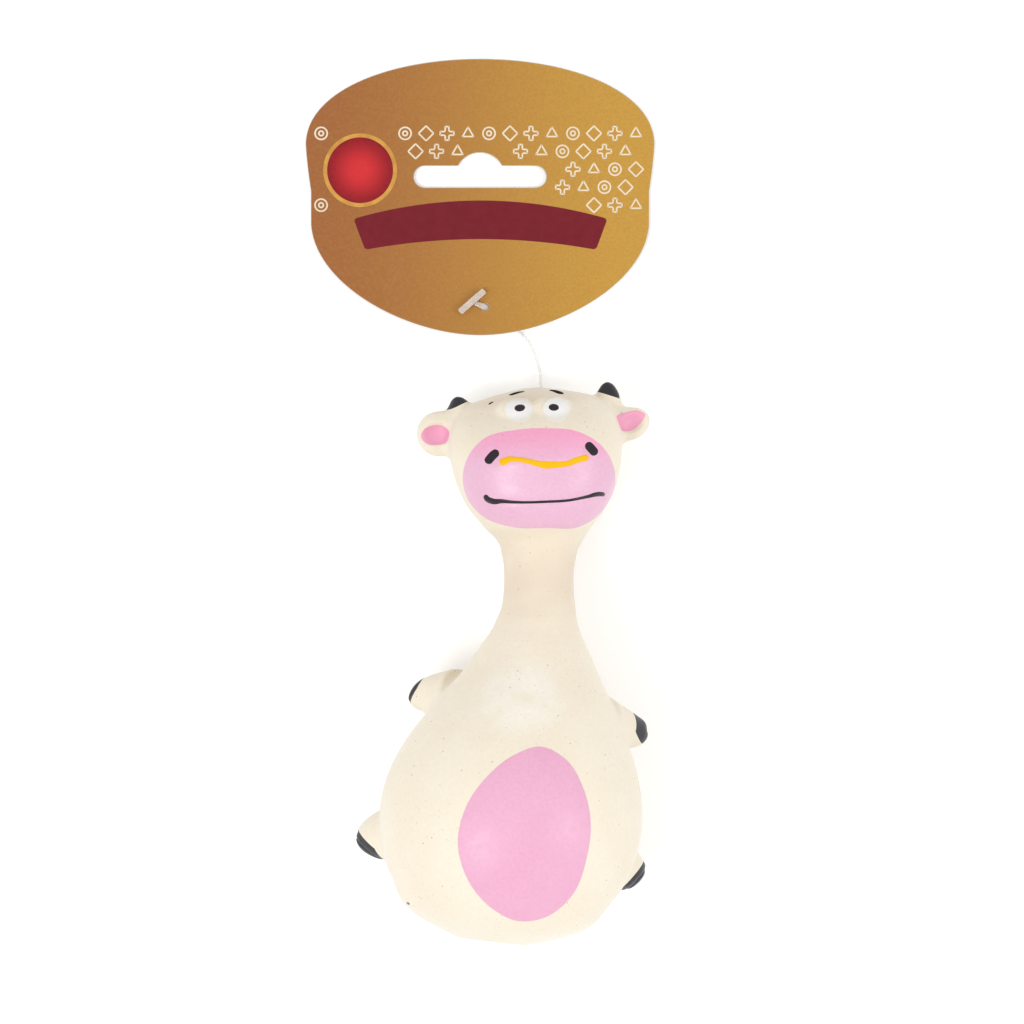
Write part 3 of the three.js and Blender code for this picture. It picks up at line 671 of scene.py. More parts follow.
def cut(points, triangles, level):
    """The part of a mesh where level is below zero, cut along the line where it is zero."""
    below = level < 0
    count = below[triangles].sum(1)

    def rolled(group, first):
        turn = np.argmax(first[group], 1)
        return np.stack([group[np.arange(len(group)), (turn + i) % 3] for i in range(3)], 1)

    one = rolled(triangles[count == 1], below)
    two = rolled(triangles[count == 2], ~below)
    pairs = [np.sort(group[:, [0, other]], 1) for group in (one, two) for other in (1, 2)]
    every, back = np.unique(np.concatenate(pairs), axis=0, return_inverse=True)
    a, b = every.T
    share = level[a] / (level[a] - level[b])
    fresh = points[a] + share[:, None] * (points[b] - points[a])
    ends = np.cumsum([len(pair) for pair in pairs])[:-1]
    one_b, one_c, two_b, two_c = np.split(len(points) + back.reshape(-1), ends)
    kept = [
        triangles[count == 3],
        np.stack([one[:, 0], one_b, one_c], 1),
        np.stack([two[:, 1], two[:, 2], two_c], 1),
        np.stack([two[:, 1], two_c, two_b], 1),
    ]
    return tidied(np.concatenate([points, fresh]), np.concatenate(kept))


def tidied(points, triangles):
    """A mesh without its unused points."""
    used, back = np.unique(triangles, return_inverse=True)
    return points[used], back.reshape(-1, 3)


def skin_net(low, high, step):
    """Points and triangles of the skin in a box."""
    corners, quads = surface_net(sampled(low, high, step))
    points = settled(low + corners * step)
    return points, in_triangles(points, quads)


def cut_to(part, *levels):
    """A mesh cut to where every level is below zero."""
    points, triangles = part
    for level in levels:
        points, triangles = cut(points, triangles, level(points))
    return points, triangles


def skin_part(part, *levels):
    """A mesh of the skin cut to where every level is below zero, and settled on the skin again."""
    points, triangles = cut_to(part, *levels)
    return settled(points, 1), triangles


def edge_loops(triangles):
    """Rings of points round the openings of a mesh."""
    edges = np.concatenate([triangles[:, [0, 1]], triangles[:, [1, 2]], triangles[:, [2, 0]]])
    there = set(map(tuple, edges.tolist()))
    following = {a: b for a, b in there if (b, a) not in there}
    loops = []
    while following:
        start, at = following.popitem()
        loop = [start]
        while at != start and at in following:
            loop.append(at)
            at = following.pop(at)
        loops.append(loop)
    return loops


def closed(points, triangles):
    """A mesh with its openings filled, by triangles that come after its own."""
    middles, extra = [], []
    for loop in edge_loops(triangles):
        middle = len(points) + len(middles)
        middles.append(points[loop].mean(0))
        extra += [(b, a, middle) for a, b in zip(loop, loop[1:] + loop[:1])]
    if not extra:
        return points, triangles
    return np.concatenate([points, middles]), np.concatenate([triangles, extra])


def added(name, data):
    """A new object in the scene."""
    made = bpy.data.objects.new(name, data)
    bpy.context.scene.collection.objects.link(made)
    return made


def new_object(name, points, faces, material):
    mesh = bpy.data.meshes.new(name)
    mesh.from_pydata((np.asarray(points) * MM).tolist(), [], [list(map(int, f)) for f in faces])
    mesh.shade_smooth()
    mesh.materials.append(material)
    return added(name, mesh)


def shaded_object(name, points, triangles, normals, material):
    """An object whose first triangles have given normals at their corners. The others are flat."""
    a, b, c = (points[triangles[:, i]] for i in range(3))
    across = np.cross(b - a, c - a)
    across = across / np.maximum(np.linalg.norm(across, axis=1, keepdims=True), 1e-12)
    corners = np.repeat(across[:, None], 3, 1)
    corners[: len(normals)] = normals
    made = new_object(name, points, triangles, material)
    made.data.normals_split_custom_set(corners.reshape(-1, 3).tolist())
    return made


def skin_object(name, part, material):
    """A closed piece of skin, shaded by the skin's own slope."""
    points, triangles = part
    normals = unit(skin_slope(points))
    return shaded_object(name, *closed(points, triangles), normals[triangles], material)


def paint_film(name, part, material, level, rise=PAINT_RISE["film"]):
    """A thin coat of paint over part of the skin, thinning towards its edge."""
    points, triangles = part
    normals = unit(skin_slope(points))
    fade = np.sqrt(np.clip(-level(points) / PAINT_EDGE[1], 0, 1))
    top = points + normals * (PAINT_EDGE[0] + rise * fade)[:, None]
    low = points - normals * PAINT_ROOT
    count = len(points)
    sides = []
    for loop in edge_loops(triangles):
        for a, b in zip(loop, loop[1:] + loop[:1]):
            sides += [(b, a, a + count), (b, a + count, b + count)]
    every = np.concatenate([triangles, triangles[:, ::-1] + count, np.array(sides)])
    return shaded_object(name, np.concatenate([top, low]), every, normals[triangles], material)


def ring_solid(name, rings, material):
    """A closed solid over rings of points, each joined to the next."""
    rings = np.asarray(rings)
    rows, around = rings.shape[:2]
    points = rings.reshape(-1, 3)
    faces = []
    for i in range(rows - 1):
        for j in range(around):
            k = (j + 1) % around
            faces.append((i * around + j, i * around + k, (i + 1) * around + k, (i + 1) * around + j))
    faces.append(list(range(around))[::-1])
    faces.append([(rows - 1) * around + j for j in range(around)])
    return new_object(name, points, faces, material)


def smooth_line(knots, count, loop=False, places=2):
    """Points at even steps along a smooth line through knots, whose first values are places."""
    knots = np.asarray(knots, float)
    if loop:
        knots = np.concatenate([knots[-3:], knots, knots[:3]])
    lengths = np.linalg.norm(np.diff(knots[:, :places], axis=0), axis=1)
    place = np.concatenate([[0], np.cumsum(lengths)])
    curves = [smooth_curve(list(zip(place, values))) for values in knots.T]
    if loop:
        span = np.linspace(place[3], place[-3], count, endpoint=False)
    else:
        span = np.linspace(0, place[-1], count)
    return np.stack([curve(span) for curve in curves], 1)


def picture_scale(height):
    """Picture points to a millimetre at a height above the floor."""
    return PICTURE / VIEW_WIDTH * CAMERA_AT[2] / (CAMERA_AT[2] - height)


def in_picture(points):
    scale = picture_scale(points[:, 2])
    across = PICTURE / 2 + (points[:, 0] - CAMERA_AT[0]) * scale
    down = PICTURE / 2 - (points[:, 1] - CAMERA_AT[1]) * scale
    return np.stack([across, down], 1)


def from_picture(flat, height):
    flat = np.asarray(flat, float)
    scale = picture_scale(height)
    across = CAMERA_AT[0] + (flat[:, 0] - PICTURE / 2) / scale
    along = CAMERA_AT[1] - (flat[:, 1] - PICTURE / 2) / scale
    return np.stack([across, along, np.full(len(flat), height)], 1)


def on_skin(flat):
    """The places on the skin that the camera sees at picture points."""
    points = from_picture(flat, SIGHT["from"])
    ray = unit(points - CAMERA_AT)
    for _ in range(SIGHT["steps"]):
        step = np.clip(SIGHT["share"] * skin(points), SIGHT["back"], SIGHT["ahead"])
        points = points + ray * step[:, None]
    return points


def outline_level(flat, outline):
    """Distance of flat points from a closed outline, below zero inside."""
    nearest = np.full(len(flat), 1e9)
    inside = np.zeros(len(flat), bool)
    for a, b in zip(outline, np.roll(outline, -1, 0)):
        edge = b - a
        away = flat - a
        share = np.clip(away @ edge / max(edge @ edge, 1e-12), 0, 1)
        nearest = np.minimum(nearest, np.linalg.norm(away - share[:, None] * edge, axis=1))
        if a[1] != b[1]:
            crosses = (a[1] > flat[:, 1]) != (b[1] > flat[:, 1])
            inside ^= crosses & (flat[:, 0] < a[0] + edge[0] * (flat[:, 1] - a[1]) / edge[1])
    return np.where(inside, -nearest, nearest)


def painted(outline, lowest=-100.0, highest=100.0, corner=1.0, facing=0.02):
    """A level below zero where the skin lies inside an outline of picture points, facing the camera.

    Lowest and highest are heights above the floor that the paint keeps between, with rounded corners."""
    smooth = smooth_line(outline, 12 * len(outline), loop=True)

    def level(points):
        made = outline_level(in_picture(points), smooth) / picture_scale(0)
        made = smooth_max(made, lowest - points[:, 2], corner)
        made = smooth_max(made, points[:, 2] - highest, corner)
        return np.where(skin_slope(points)[:, 2] > facing, made, 9.0)

    return level


def paint_faces(base, rise, rows):
    """The upper and lower face of paint over places on the skin, each in rows of points."""
    normals = unit(skin_slope(base))
    top = base + normals * rise.reshape(-1, 1)
    low = base - normals * PAINT_ROOT
    return top.reshape(rows, -1, 3), low.reshape(rows, -1, 3)


def stroke(name, path, rise, material, on_the_skin=False):
    """A brush stroke that stands a little above the skin, with round ends.

    Its width is as the camera sees it, or as measured on the skin."""
    path = np.asarray(path, float)
    length = np.linalg.norm(np.diff(path[:, :2], axis=0), axis=1).sum()
    line = smooth_line(path, max(STROKE["least"], int(length / STROKE["step"])))
    flat, width = line[:, :2], line[:, 2] / 2
    ahead = unit(np.gradient(flat, axis=0))
    beside = np.stack([-ahead[:, 1], ahead[:, 0]], 1)
    from_end = np.minimum(np.linspace(0, length, len(flat)), np.linspace(length, 0, len(flat)))
    end = np.clip(from_end / width, 0.02, 1)
    width = width * np.sqrt(1 - (1 - end) ** 2)
    across = np.linspace(-1, 1, STROKE["across"])
    reach = across[None, :, None] * width[:, None, None]
    if on_the_skin:
        middle = on_skin(flat)
        beside = unit(np.cross(np.gradient(middle, axis=0), skin_slope(middle)))
        spread = middle[:, None] + beside[:, None] * reach / picture_scale(0)
        base = settled(spread.reshape(-1, 3))
    else:
        base = on_skin((flat[:, None] + beside[:, None] * reach).reshape(-1, 2))
    dome = np.sqrt(np.maximum(1 - across ** 2, 0))[None] * np.sqrt(end)[:, None] * rise
    top, low = paint_faces(base, dome, len(flat))
    return ring_solid(name, np.concatenate([top, low[:, ::-1]], 1), material)


def dab(name, spot, rise, material, rings):
    """A spot of paint over rings, each a share of its size."""
    around = np.linspace(0, 2 * math.pi, 40, endpoint=False)
    turn = math.radians(spot[4])
    oval = np.stack([spot[2] * np.cos(around), spot[3] * np.sin(around)], 1)
    turner = np.array([[math.cos(turn), math.sin(turn)], [-math.sin(turn), math.cos(turn)]])
    flat = np.array(spot[:2]) + np.array(rings)[:, None, None] * (oval @ turner)[None]
    dome = np.repeat(rise * np.sqrt(1 - 0.96 * np.array(rings) ** 2), len(around))
    top, low = paint_faces(on_skin(flat.reshape(-1, 2)), dome, len(rings))
    made = ring_solid(name, np.concatenate([top, low[::-1]]), material)
    share = np.repeat(np.concatenate([rings, rings[::-1]]), len(around)).astype(np.float32)
    made.data.attributes.new("spread", "FLOAT", "POINT").data.foreach_set("value", share)
    return made


class Nodes:
    """A material's nodes, with short ways to add the common ones. Sizes and places are in millimetres."""

    def __init__(self, name, **inputs):
        self.material = bpy.data.materials.new(name)
        self.material.use_nodes = True
        self.tree = self.material.node_tree
        self.shader = self.tree.nodes["Principled BSDF"]
        self.set(self.shader, inputs)
        source = self.add("ShaderNodeTexCoord")
        self.place = source.outputs["Object"]
        self.normal = source.outputs["Normal"]

    def set(self, node, inputs):
        for name, value in inputs.items():
            node.inputs[name.replace("_", " ")].default_value = value

    def link(self, source, target):
        self.tree.links.new(source, target)

    def add(self, kind, *sources, **inputs):
        """A new node, with its first inputs linked and others set by name."""
        node = self.tree.nodes.new(kind)
        self.set(node, inputs)
        for source, target in zip(sources, node.inputs):
            self.link(source, target)
        return node

    def axis(self, source, name):
        return self.add("ShaderNodeSeparateXYZ", source).outputs[name]

    def away(self, middle):
        """Distance, in metres, from a place."""
        node = self.add("ShaderNodeVectorMath", self.place)
        node.operation = "DISTANCE"
        node.inputs[1].default_value = np.asarray(middle) * MM
        return node.outputs["Value"]

    def noise(self, size, detail=2.0, roughness=0.5):
        """Cloudy values with features of a size."""
        scale = 1 / (size * MM)
        node = self.add("ShaderNodeTexNoise", self.place, Scale=scale, Detail=detail, Roughness=roughness)
        return node.outputs["Fac"]

    def spots(self, cell):
        """Distance to the nearest of scattered points, and that point's own random colour."""
        node = self.add("ShaderNodeTexVoronoi", self.place, Scale=1 / (cell * MM))
        return node.outputs["Distance"], node.outputs["Color"]

    def spread(self, source, low, high, start=0.0, end=1.0):
        """Values from start to end, where the source goes from low to high."""
        node = self.add("ShaderNodeMapRange", source, From_Min=low, From_Max=high, To_Min=start, To_Max=end)
        node.interpolation_type = "SMOOTHSTEP"
        return node.outputs["Result"]

    def clouds(self, size, detail, start=0.0, end=1.0):
        """Soft clouds between two values."""
        return self.spread(self.noise(size, detail), 0.3, 0.7, start, end)

    def times(self, a, b):
        node = self.add("ShaderNodeMath", a, b)
        node.operation = "MULTIPLY"
        return node.outputs[0]

    def mix(self, share, a, b):
        """Colours a and b, each a colour or a socket, mixed by a share."""
        node = self.add("ShaderNodeMix")
        node.data_type = "RGBA"
        self.link(share, node.inputs[0])
        for socket, value in ((node.inputs[6], a), (node.inputs[7], b)):
            if isinstance(value, tuple):
                socket.default_value = (*value, 1)
            else:
                self.link(value, socket)
        return node.outputs[2]

    def finish(self, colour, rough, bump):
        """The material with its colour, roughness and bump.

        Roughness is clouds of a size, detail, start and end. Bump is noise of a size and detail, and
        maybe a roughness, followed by a strength and a depth."""
        self.link(colour, self.shader.inputs["Base Color"])
        self.link(self.clouds(*rough), self.shader.inputs["Roughness"])
        *grain, strength, depth = bump
        node = self.add("ShaderNodeBump", Strength=strength, Distance=depth * MM)
        self.link(self.noise(*grain), node.inputs["Height"])
        self.link(node.outputs["Normal"], self.shader.inputs["Normal"])
        return self.material


def cream_colour(nodes):
    """Latex cream with soft clouds, a warmer tint here and there and fine dark specks."""
    base = nodes.mix(nodes.clouds(16, 3), (0.83, 0.765, 0.635), (0.81, 0.73, 0.59))
    along = nodes.axis(nodes.place, "Y")
    start, full, last, end = (place * MM for place in NECK_TINT)
    neck = nodes.times(nodes.spread(along, start, full), nodes.spread(along, last, end, 1.0, 0.0))
    patches = nodes.spread(nodes.noise(9, 2), 0.2, 0.6, 0.6, 1.0)
    base = nodes.mix(nodes.times(neck, patches), base, (0.74, 0.63, 0.5))
    # A paler place on the chest, broken up by clouds
    pale_place = nodes.spread(nodes.away(CHEST_PALE_PLACE["at"]), CHEST_PALE_PLACE["inner"] * MM, CHEST_PALE_PLACE["outer"] * MM, 1.0, 0.0)
    pale_place = nodes.times(pale_place, nodes.spread(nodes.noise(7, 4), 0.3, 0.62))
    base = nodes.mix(pale_place, base, (0.86, 0.82, 0.73))
    grain = nodes.spread(nodes.noise(0.9, 3, 0.6), 0.25, 0.75, 0.0, 0.22)
    base = nodes.mix(grain, base, (0.7, 0.6, 0.46))
    far, chance = nodes.spots(2.2)
    some = nodes.spread(nodes.add("ShaderNodeSeparateColor", chance).outputs[0], 0.5, 0.6)
    speck = nodes.times(nodes.spread(far, 0.05, 0.1, 0.6, 0.0), some)
    base = nodes.mix(speck, base, (0.2, 0.13, 0.09))
    near = nodes.spots(1.3)[0]
    dust = nodes.times(nodes.spread(near, 0.08, 0.16, 0.34, 0.0), nodes.spread(nodes.noise(14, 2), 0.38, 0.6))
    return nodes.mix(dust, base, (0.42, 0.31, 0.22))


def latex_cream():
    nodes = Nodes("latex_cream", IOR=1.45, Sheen_Weight=0.25, Sheen_Roughness=0.4)
    return nodes.finish(cream_colour(nodes), (3, 3, 0.5, 0.62), (0.5, 4, 0.6, 0.12, 0.06))


def latex_paint(name, low, high, grime, rough, shine=0.5, top=None):
    """Satin paint on latex: slight streaks, fine grain and a few dark specks.

    The colour may change towards a deeper one at the top, which is partly painted shade."""
    nodes = Nodes(name, Specular_IOR_Level=shine)
    base = nodes.mix(nodes.clouds(11, 3), low, high)
    # Deeper towards the top: partly the paint's own tone, partly painted shade where the surface turns away
    # from the lamps
    if top:
        start, end = (place * MM for place in MUZZLE_SHADE_RAMP)
        base = nodes.mix(nodes.spread(nodes.axis(nodes.place, "Y"), start, end), base, top)
    grain = nodes.spread(nodes.noise(0.7, 3, 0.6), 0.3, 0.8, 0.0, 0.16)
    base = nodes.mix(grain, base, grime)
    specks = nodes.spread(nodes.spots(6.5)[0], 0.018, 0.035, 0.7, 0.0)
    base = nodes.mix(specks, base, grime)
    return nodes.finish(base, (2.2, 3, rough - 0.05, rough + 0.07), (0.45, 4, 0.6, 0.1, 0.05))


def eye_white():
    """White paint blown on softly, fading into the latex round it."""
    nodes = Nodes("eye_white")
    spread = nodes.add("ShaderNodeAttribute")
    spread.attribute_name = "spread"
    fade = nodes.spread(spread.outputs["Fac"], 0.74, 1.0)
    white = nodes.mix(nodes.clouds(0.8, 3), (0.8, 0.79, 0.775), (0.77, 0.76, 0.74))
    base = nodes.mix(fade, white, cream_colour(nodes))
    return nodes.finish(base, (1.5, 2, 0.46, 0.58), (0.5, 4, 0.6, 0.1, 0.05))


def card_face(left, right):
    """Satin gold print with a fine grain, over pale board at the edges and back, with painted reflection:
    dark left, light right.
    """
    nodes = Nodes("card_gold", Specular_IOR_Level=0.2)
    # Painted reflection of the lamps on the gold: darker on the left, lighter on the right
    shade = nodes.spread(nodes.axis(nodes.place, "X"), left * MM, right * MM)
    base = nodes.mix(shade, (0.32, 0.11, 0.036), (0.54, 0.3, 0.05))
    grain = nodes.spread(nodes.noise(0.55, 2, 0.7), 0.25, 0.75, 0.0, 0.28)
    base = nodes.mix(grain, base, (0.27, 0.12, 0.02))
    fibres = nodes.spread(nodes.noise(0.7, 4), 0.35, 0.75, 0.0, 0.14)
    base = nodes.mix(fibres, base, (0.5, 0.3, 0.07))
    board = nodes.spread(nodes.axis(nodes.normal, "Z"), 0.55, 0.9, 1.0, 0.0)
    base = nodes.mix(board, base, (0.6, 0.55, 0.48))
    return nodes.finish(base, (1.2, 3, 0.42, 0.56), (0.3, 3, 0.6, 0.08, 0.03))


def clouded(name, clouds, low, high, rough, bump, **inputs):
    """A material whose colour drifts between two."""
    nodes = Nodes(name, **inputs)
    return nodes.finish(nodes.mix(nodes.clouds(*clouds), low, high), rough, bump)


def print_ink(name, low, high, rough):
    texture = (0.8, 2, rough, rough + 0.1), (0.3, 3, 0.6, 0.06, 0.03)
    return clouded(name, (2.5, 4), low, high, *texture, Specular_IOR_Level=0.15)


def badge_ink(middle, reach):
    """Red ink that darkens away from a middle."""
    nodes = Nodes("badge_red", Specular_IOR_Level=0.15)
    shade = nodes.spread(nodes.away(middle), 0.1 * reach * MM, reach * MM)
    base = nodes.mix(shade, (0.6, 0.03, 0.035), (0.2, 0.008, 0.014))
    base = nodes.mix(nodes.clouds(1.2, 3, 0.0, 0.2), base, (0.45, 0.02, 0.025))
    return nodes.finish(base, (0.8, 2, 0.34, 0.44), (0.3, 3, 0.6, 0.06, 0.03))


PINK_GRIME = (0.45, 0.18, 0.27)
CREAM = latex_cream()
PINK = latex_paint("latex_pink", (0.77, 0.405, 0.56), (0.75, 0.38, 0.535), PINK_GRIME, 0.42)
# The muzzle's deeper top colour is partly the paint's own tone and partly painted shade
MUZZLE_PINK = latex_paint(
    "muzzle_pink", (0.75, 0.455, 0.6), (0.74, 0.43, 0.58), PINK_GRIME, 0.38, top=(0.92, 0.36, 0.56)
)
EAR_PINK = latex_paint("ear_pink", (0.86, 0.38, 0.54), (0.84, 0.32, 0.49), (0.66, 0.3, 0.44), 0.5)
BLACK = latex_paint("latex_black", (0.03, 0.03, 0.036), (0.022, 0.022, 0.027), (0.07, 0.07, 0.08), 0.4, 0.25)
LINE_BLACK = latex_paint(
    "line_black", (0.02, 0.013, 0.018), (0.014, 0.009, 0.013), (0.06, 0.045, 0.055), 0.26, 0.3
)
BROW_BLACK = latex_paint(
    "brow_black", (0.012, 0.009, 0.011), (0.008, 0.006, 0.008), (0.04, 0.03, 0.035), 0.7, 0.03
)
GOLD_PAINT = latex_paint("gold_paint", (0.88, 0.5, 0.004), (0.86, 0.45, 0.003), (0.7, 0.33, 0.01), 0.46, 0.14)
RED_MARK = latex_paint("red_mark", (0.3, 0.06, 0.03), (0.22, 0.045, 0.025), (0.12, 0.03, 0.02), 0.5)
EYE_WHITE = eye_white()
CLEAR = clouded(
    "clear_plastic", (2.5, 2), (0.88, 0.78, 0.7), (0.82, 0.72, 0.63), (2, 2, 0.16, 0.24),
    (1.5, 2, 0.04, 0.03), IOR=1.4, Transmission_Weight=0.45,
)
FILAMENT = clouded(
    "pale_filament", (0.9, 3), (0.95, 0.945, 0.93), (0.9, 0.89, 0.87), (0.5, 2, 0.1, 0.2),
    (0.4, 2, 0.05, 0.02), IOR=1.12, Transmission_Weight=0.8,
)
PLASTIC = clouded(
    "squeaker_plastic", (6, 3), (0.82, 0.75, 0.62), (0.77, 0.69, 0.55), (1, 3, 0.32, 0.46),
    (0.25, 3, 0.6, 0.1, 0.03), IOR=1.47,
)
BRASS = clouded(
    "reed_brass", (1.5, 4), (0.66, 0.46, 0.17), (0.5, 0.33, 0.11), (0.4, 3, 0.22, 0.4), (0.2, 3, 0.08, 0.02),
    Metallic=1.0,
)


def make_camera():
    data = bpy.data.cameras.new("camera")
    data.sensor_width = SENSOR
    data.lens = SENSOR * CAMERA_AT[2] / VIEW_WIDTH
    data.clip_start = CLIP_START * MM
    made = added("camera", data)
    made.location = CAMERA_AT * MM
    bpy.context.scene.camera = made


def make_tag_bar():
    """The bar of the pin: two ribs side by side with round ends, on the filament's end."""
    spec = TAG_BAR
    half_length = spec["length"] / 2
    turns = np.linspace(0, 2 * math.pi, 28, endpoint=False)
    height = np.abs(np.sin(turns))
    profile = 0.5 * spec["thick"] * np.sign(np.sin(turns)) * height ** 0.45
    profile = profile * (1 - spec["groove"] * height ** 5)
    rows = []
    for t in np.sin(np.linspace(-math.pi / 2, math.pi / 2, 25)):
        past = max(0, abs(t) * half_length - (half_length - spec["round"]))
        narrow = math.sqrt(max(1 - past ** 2 / spec["round"] ** 2, 0.004))
        across = spec["half"] * np.cos(turns) * (1 - spec["taper"] + spec["taper"] * narrow)
        rows.append(np.stack([np.full(len(turns), t * half_length), across, profile * narrow], 1))
    cosine, sine = math.cos(spec["turn"]), math.sin(spec["turn"])
    turner = np.array([[cosine, sine, 0], [-sine, cosine, 0], [0, 0, 1]])
    made = ring_solid("tag_pin_bar", np.array(rows) @ turner + np.array(spec["at"]), CLEAR)
    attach(made, "tag_pin")
    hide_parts("tag_bar")
    return made


def make_collar():
    """The thick foot of the pin's bar, down into the card's hole."""
    rings = []
    angles = np.linspace(0, 2 * math.pi, 24, endpoint=False)
    for place, radius in COLLAR:
        across = np.stack([np.cos(angles), np.sin(angles), 0 * angles], 1)
        rings.append(np.array(place) + radius * across)
    made = ring_solid("tag_pin_collar", np.array(rings), CLEAR)
    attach(made, "tag_pin")
    return made


def make_filament(fittings):
    route = smooth_line(FILAMENT_ROUTE, 40, places=3) * MM
    data = bpy.data.curves.new("tag_pin_filament", "CURVE")
    data.dimensions = "3D"
    data.bevel_depth = FILAMENT_RADIUS * MM
    data.bevel_resolution = 3
    data.use_fill_caps = True
    line = data.splines.new("POLY")
    line.points.add(len(route) - 1)
    line.points.foreach_set("co", np.concatenate([route, np.ones((len(route), 1))], 1).ravel())
    data.materials.append(FILAMENT)
    made = added("tag_pin_filament", data)
    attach(made, "tag_pin")
    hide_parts("tag_filament")


def box_of(*names, margin=BOX_MARGIN):
    """The corners, in millimetres, of a box with a margin round CAD nodes."""
    corners = [[np.array(corner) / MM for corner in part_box(name)] for name in names]
    low = np.min([low for low, high in corners], 0)
    high = np.max([high for low, high in corners], 0)
    return low - margin, high + margin


def near_limb(limb):
    """Below zero where a limb's own piece is."""
    def level(points):
        along, out, beside = limb_place(in_torso(points), limb)
        return np.maximum(LIMB_CUT - along, out - limb["reach"])

    return level


def opposite(level):
    return lambda points: -level(points)


def below_neck(points):
    """Below zero on the torso's side of the cut."""
    return in_torso(points)[:, 1] - NECK_CUT


def make_torso():
    net = skin_net(*box_of("torso_shell", "belly_panel"), STEP["torso"])
    not_limbs = [opposite(near_limb(limb)) for limb in ALL_LIMBS.values()]
    made = skin_object("torso_skin", skin_part(net, below_neck, *not_limbs), CREAM)
    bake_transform(made)
    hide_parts("torso_shell")
    inside = painted(BELLY_PAINT)
    net = skin_net(*box_of("belly_panel"), STEP["belly"])
    paint = paint_film("belly_paint", skin_part(net, inside), PINK, inside)
    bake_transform(paint)
    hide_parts("belly_panel")
    mark = stroke("seat_mark", MARK, PAINT_RISE["mark"], RED_MARK)
    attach(mark, "torso")


def make_limb(name, limb):
    root = from_torso(limb["root"])
    reach = limb["length"] + LIMB_MARGIN
    points, triangles = skin_part(skin_net(root - reach, root + reach, STEP["limb"]), near_limb(limb))
    on_hoof = limb["hoof_from"] - (in_torso(points) - limb["root"]) @ limb["sole"]
    stub = skin_object(f"{name}_skin", cut(points, triangles, -on_hoof), CREAM)
    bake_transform(stub)
    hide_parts(name)
    hoof = skin_object(f"{name}_hoof_skin", cut(points, triangles, on_hoof), BLACK)
    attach(hoof, name)
    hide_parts(f"{name}_hoof")


def horn_black(end, points):
    """Below zero on the black part of a horn."""
    place = in_head(points)
    local = place * (EARS[end]["side"], 1, 1) - HORNS[end]["at"]
    up = local @ (math.sin(HORN_PAINT_LEAN), math.cos(HORN_PAINT_LEAN), 0)
    out = horn_place(place, end)[1]
    return smooth_max(HORNS[end]["black_from"] - up, out - HORN_PAINT_REACH, JOIN["horn_paint"])


def ear_part(side):
    return lambda points: EAR_CUT - side * in_head(points)[:, 0]


def make_head():
    box = box_of("neck_tube", "head_shell", "horn_left", "horn_right", "eye_left", "muzzle_shell")
    levels = [opposite(level) for level in (below_neck, ear_part(-1), ear_part(1))]
    points, triangles = cut_to(skin_net(*box, STEP["head"]), *levels)
    height = in_head(points)[:, 1]
    neck = skin_object("neck_skin", cut(points, triangles, height - HEAD_CUT), CREAM)
    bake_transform(neck)
    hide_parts("neck_tube")
    points, triangles = cut(points, triangles, HEAD_CUT - height)
    for side in HORNS:
        level = horn_black(side, points)
        horn = skin_object(f"horn_{side}_skin", cut(points, triangles, level), BLACK)
        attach(horn, "head")
        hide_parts(f"horn_{side}")
        points, triangles = cut(points, triangles, -level)
    head = skin_object("head_skin", (points, triangles), CREAM)
    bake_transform(head)
    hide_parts("head_shell")
    inside = painted(MUZZLE_PAINT, **MUZZLE_SPREAD)
    muzzle = paint_film("muzzle_paint", skin_part((points, triangles), inside), MUZZLE_PINK, inside)
    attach(muzzle, "head")
    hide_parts("muzzle_shell")


def make_ear(end, ear):
    side = ear["side"]
    net = skin_net(*box_of(f"ear_{end}"), STEP["ear"])
    made = skin_object(f"ear_{end}_skin", skin_part(net, ear_part(side)), CREAM)
    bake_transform(made)
    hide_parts(f"ear_{end}")
    inside = painted(EAR_PAINT[end], **EAR_SPREAD)
    paint = paint_film(f"ear_{end}_paint", skin_part(net, inside), EAR_PINK, inside, PAINT_RISE["ear"])
    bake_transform(paint)


def make_face_paint():
    rise = PAINT_RISE
    pieces = [
        (stroke("mouth_line", MOUTH, rise["mouth"], LINE_BLACK), "latex_black"),
        (stroke("nose_ring_line", GOLD_RING, rise["ring"], GOLD_PAINT), None),
        (stroke("brow_left", BROWS[0], rise["brow"], BROW_BLACK, on_the_skin=True), "latex_black"),
        (stroke("brow_right", BROWS[1], rise["brow"], BROW_BLACK, on_the_skin=True), "latex_black"),
        (stroke("brow_dash", DASH, rise["dash"], BROW_BLACK, on_the_skin=True), "latex_black"),
        (stroke("nostril_left", NOSTRIL_PAINT[0], rise["nostril"], LINE_BLACK), "latex_black"),
        (stroke("nostril_right", NOSTRIL_PAINT[1], rise["nostril"], LINE_BLACK), "latex_black"),
    ]
    for end in EARS:
        white = dab(f"eye_{end}_white", EYE_PAINT[end], rise["eye"], EYE_WHITE, EYE_RINGS)
        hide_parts(f"eye_{end}")
        pieces.append((white, "eye_white"))
        pupil = dab(f"pupil_{end}", PUPIL_PAINT[end], rise["pupil"], LINE_BLACK, PUPIL_RINGS)
        pieces.append((pupil, "latex_black"))
    for made, slot in pieces:
        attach(made, "head")


def bezier(points, count):
    """Points along a curve pulled by three or four points, without its last one."""
    points = [np.array(p, float) for p in points]
    made = []
    for t in np.linspace(0, 1, count, endpoint=False):
        row = points
        while len(row) > 1:
            row = [a + (b - a) * t for a, b in zip(row, row[1:])]
        made.append(row[0])
    return made


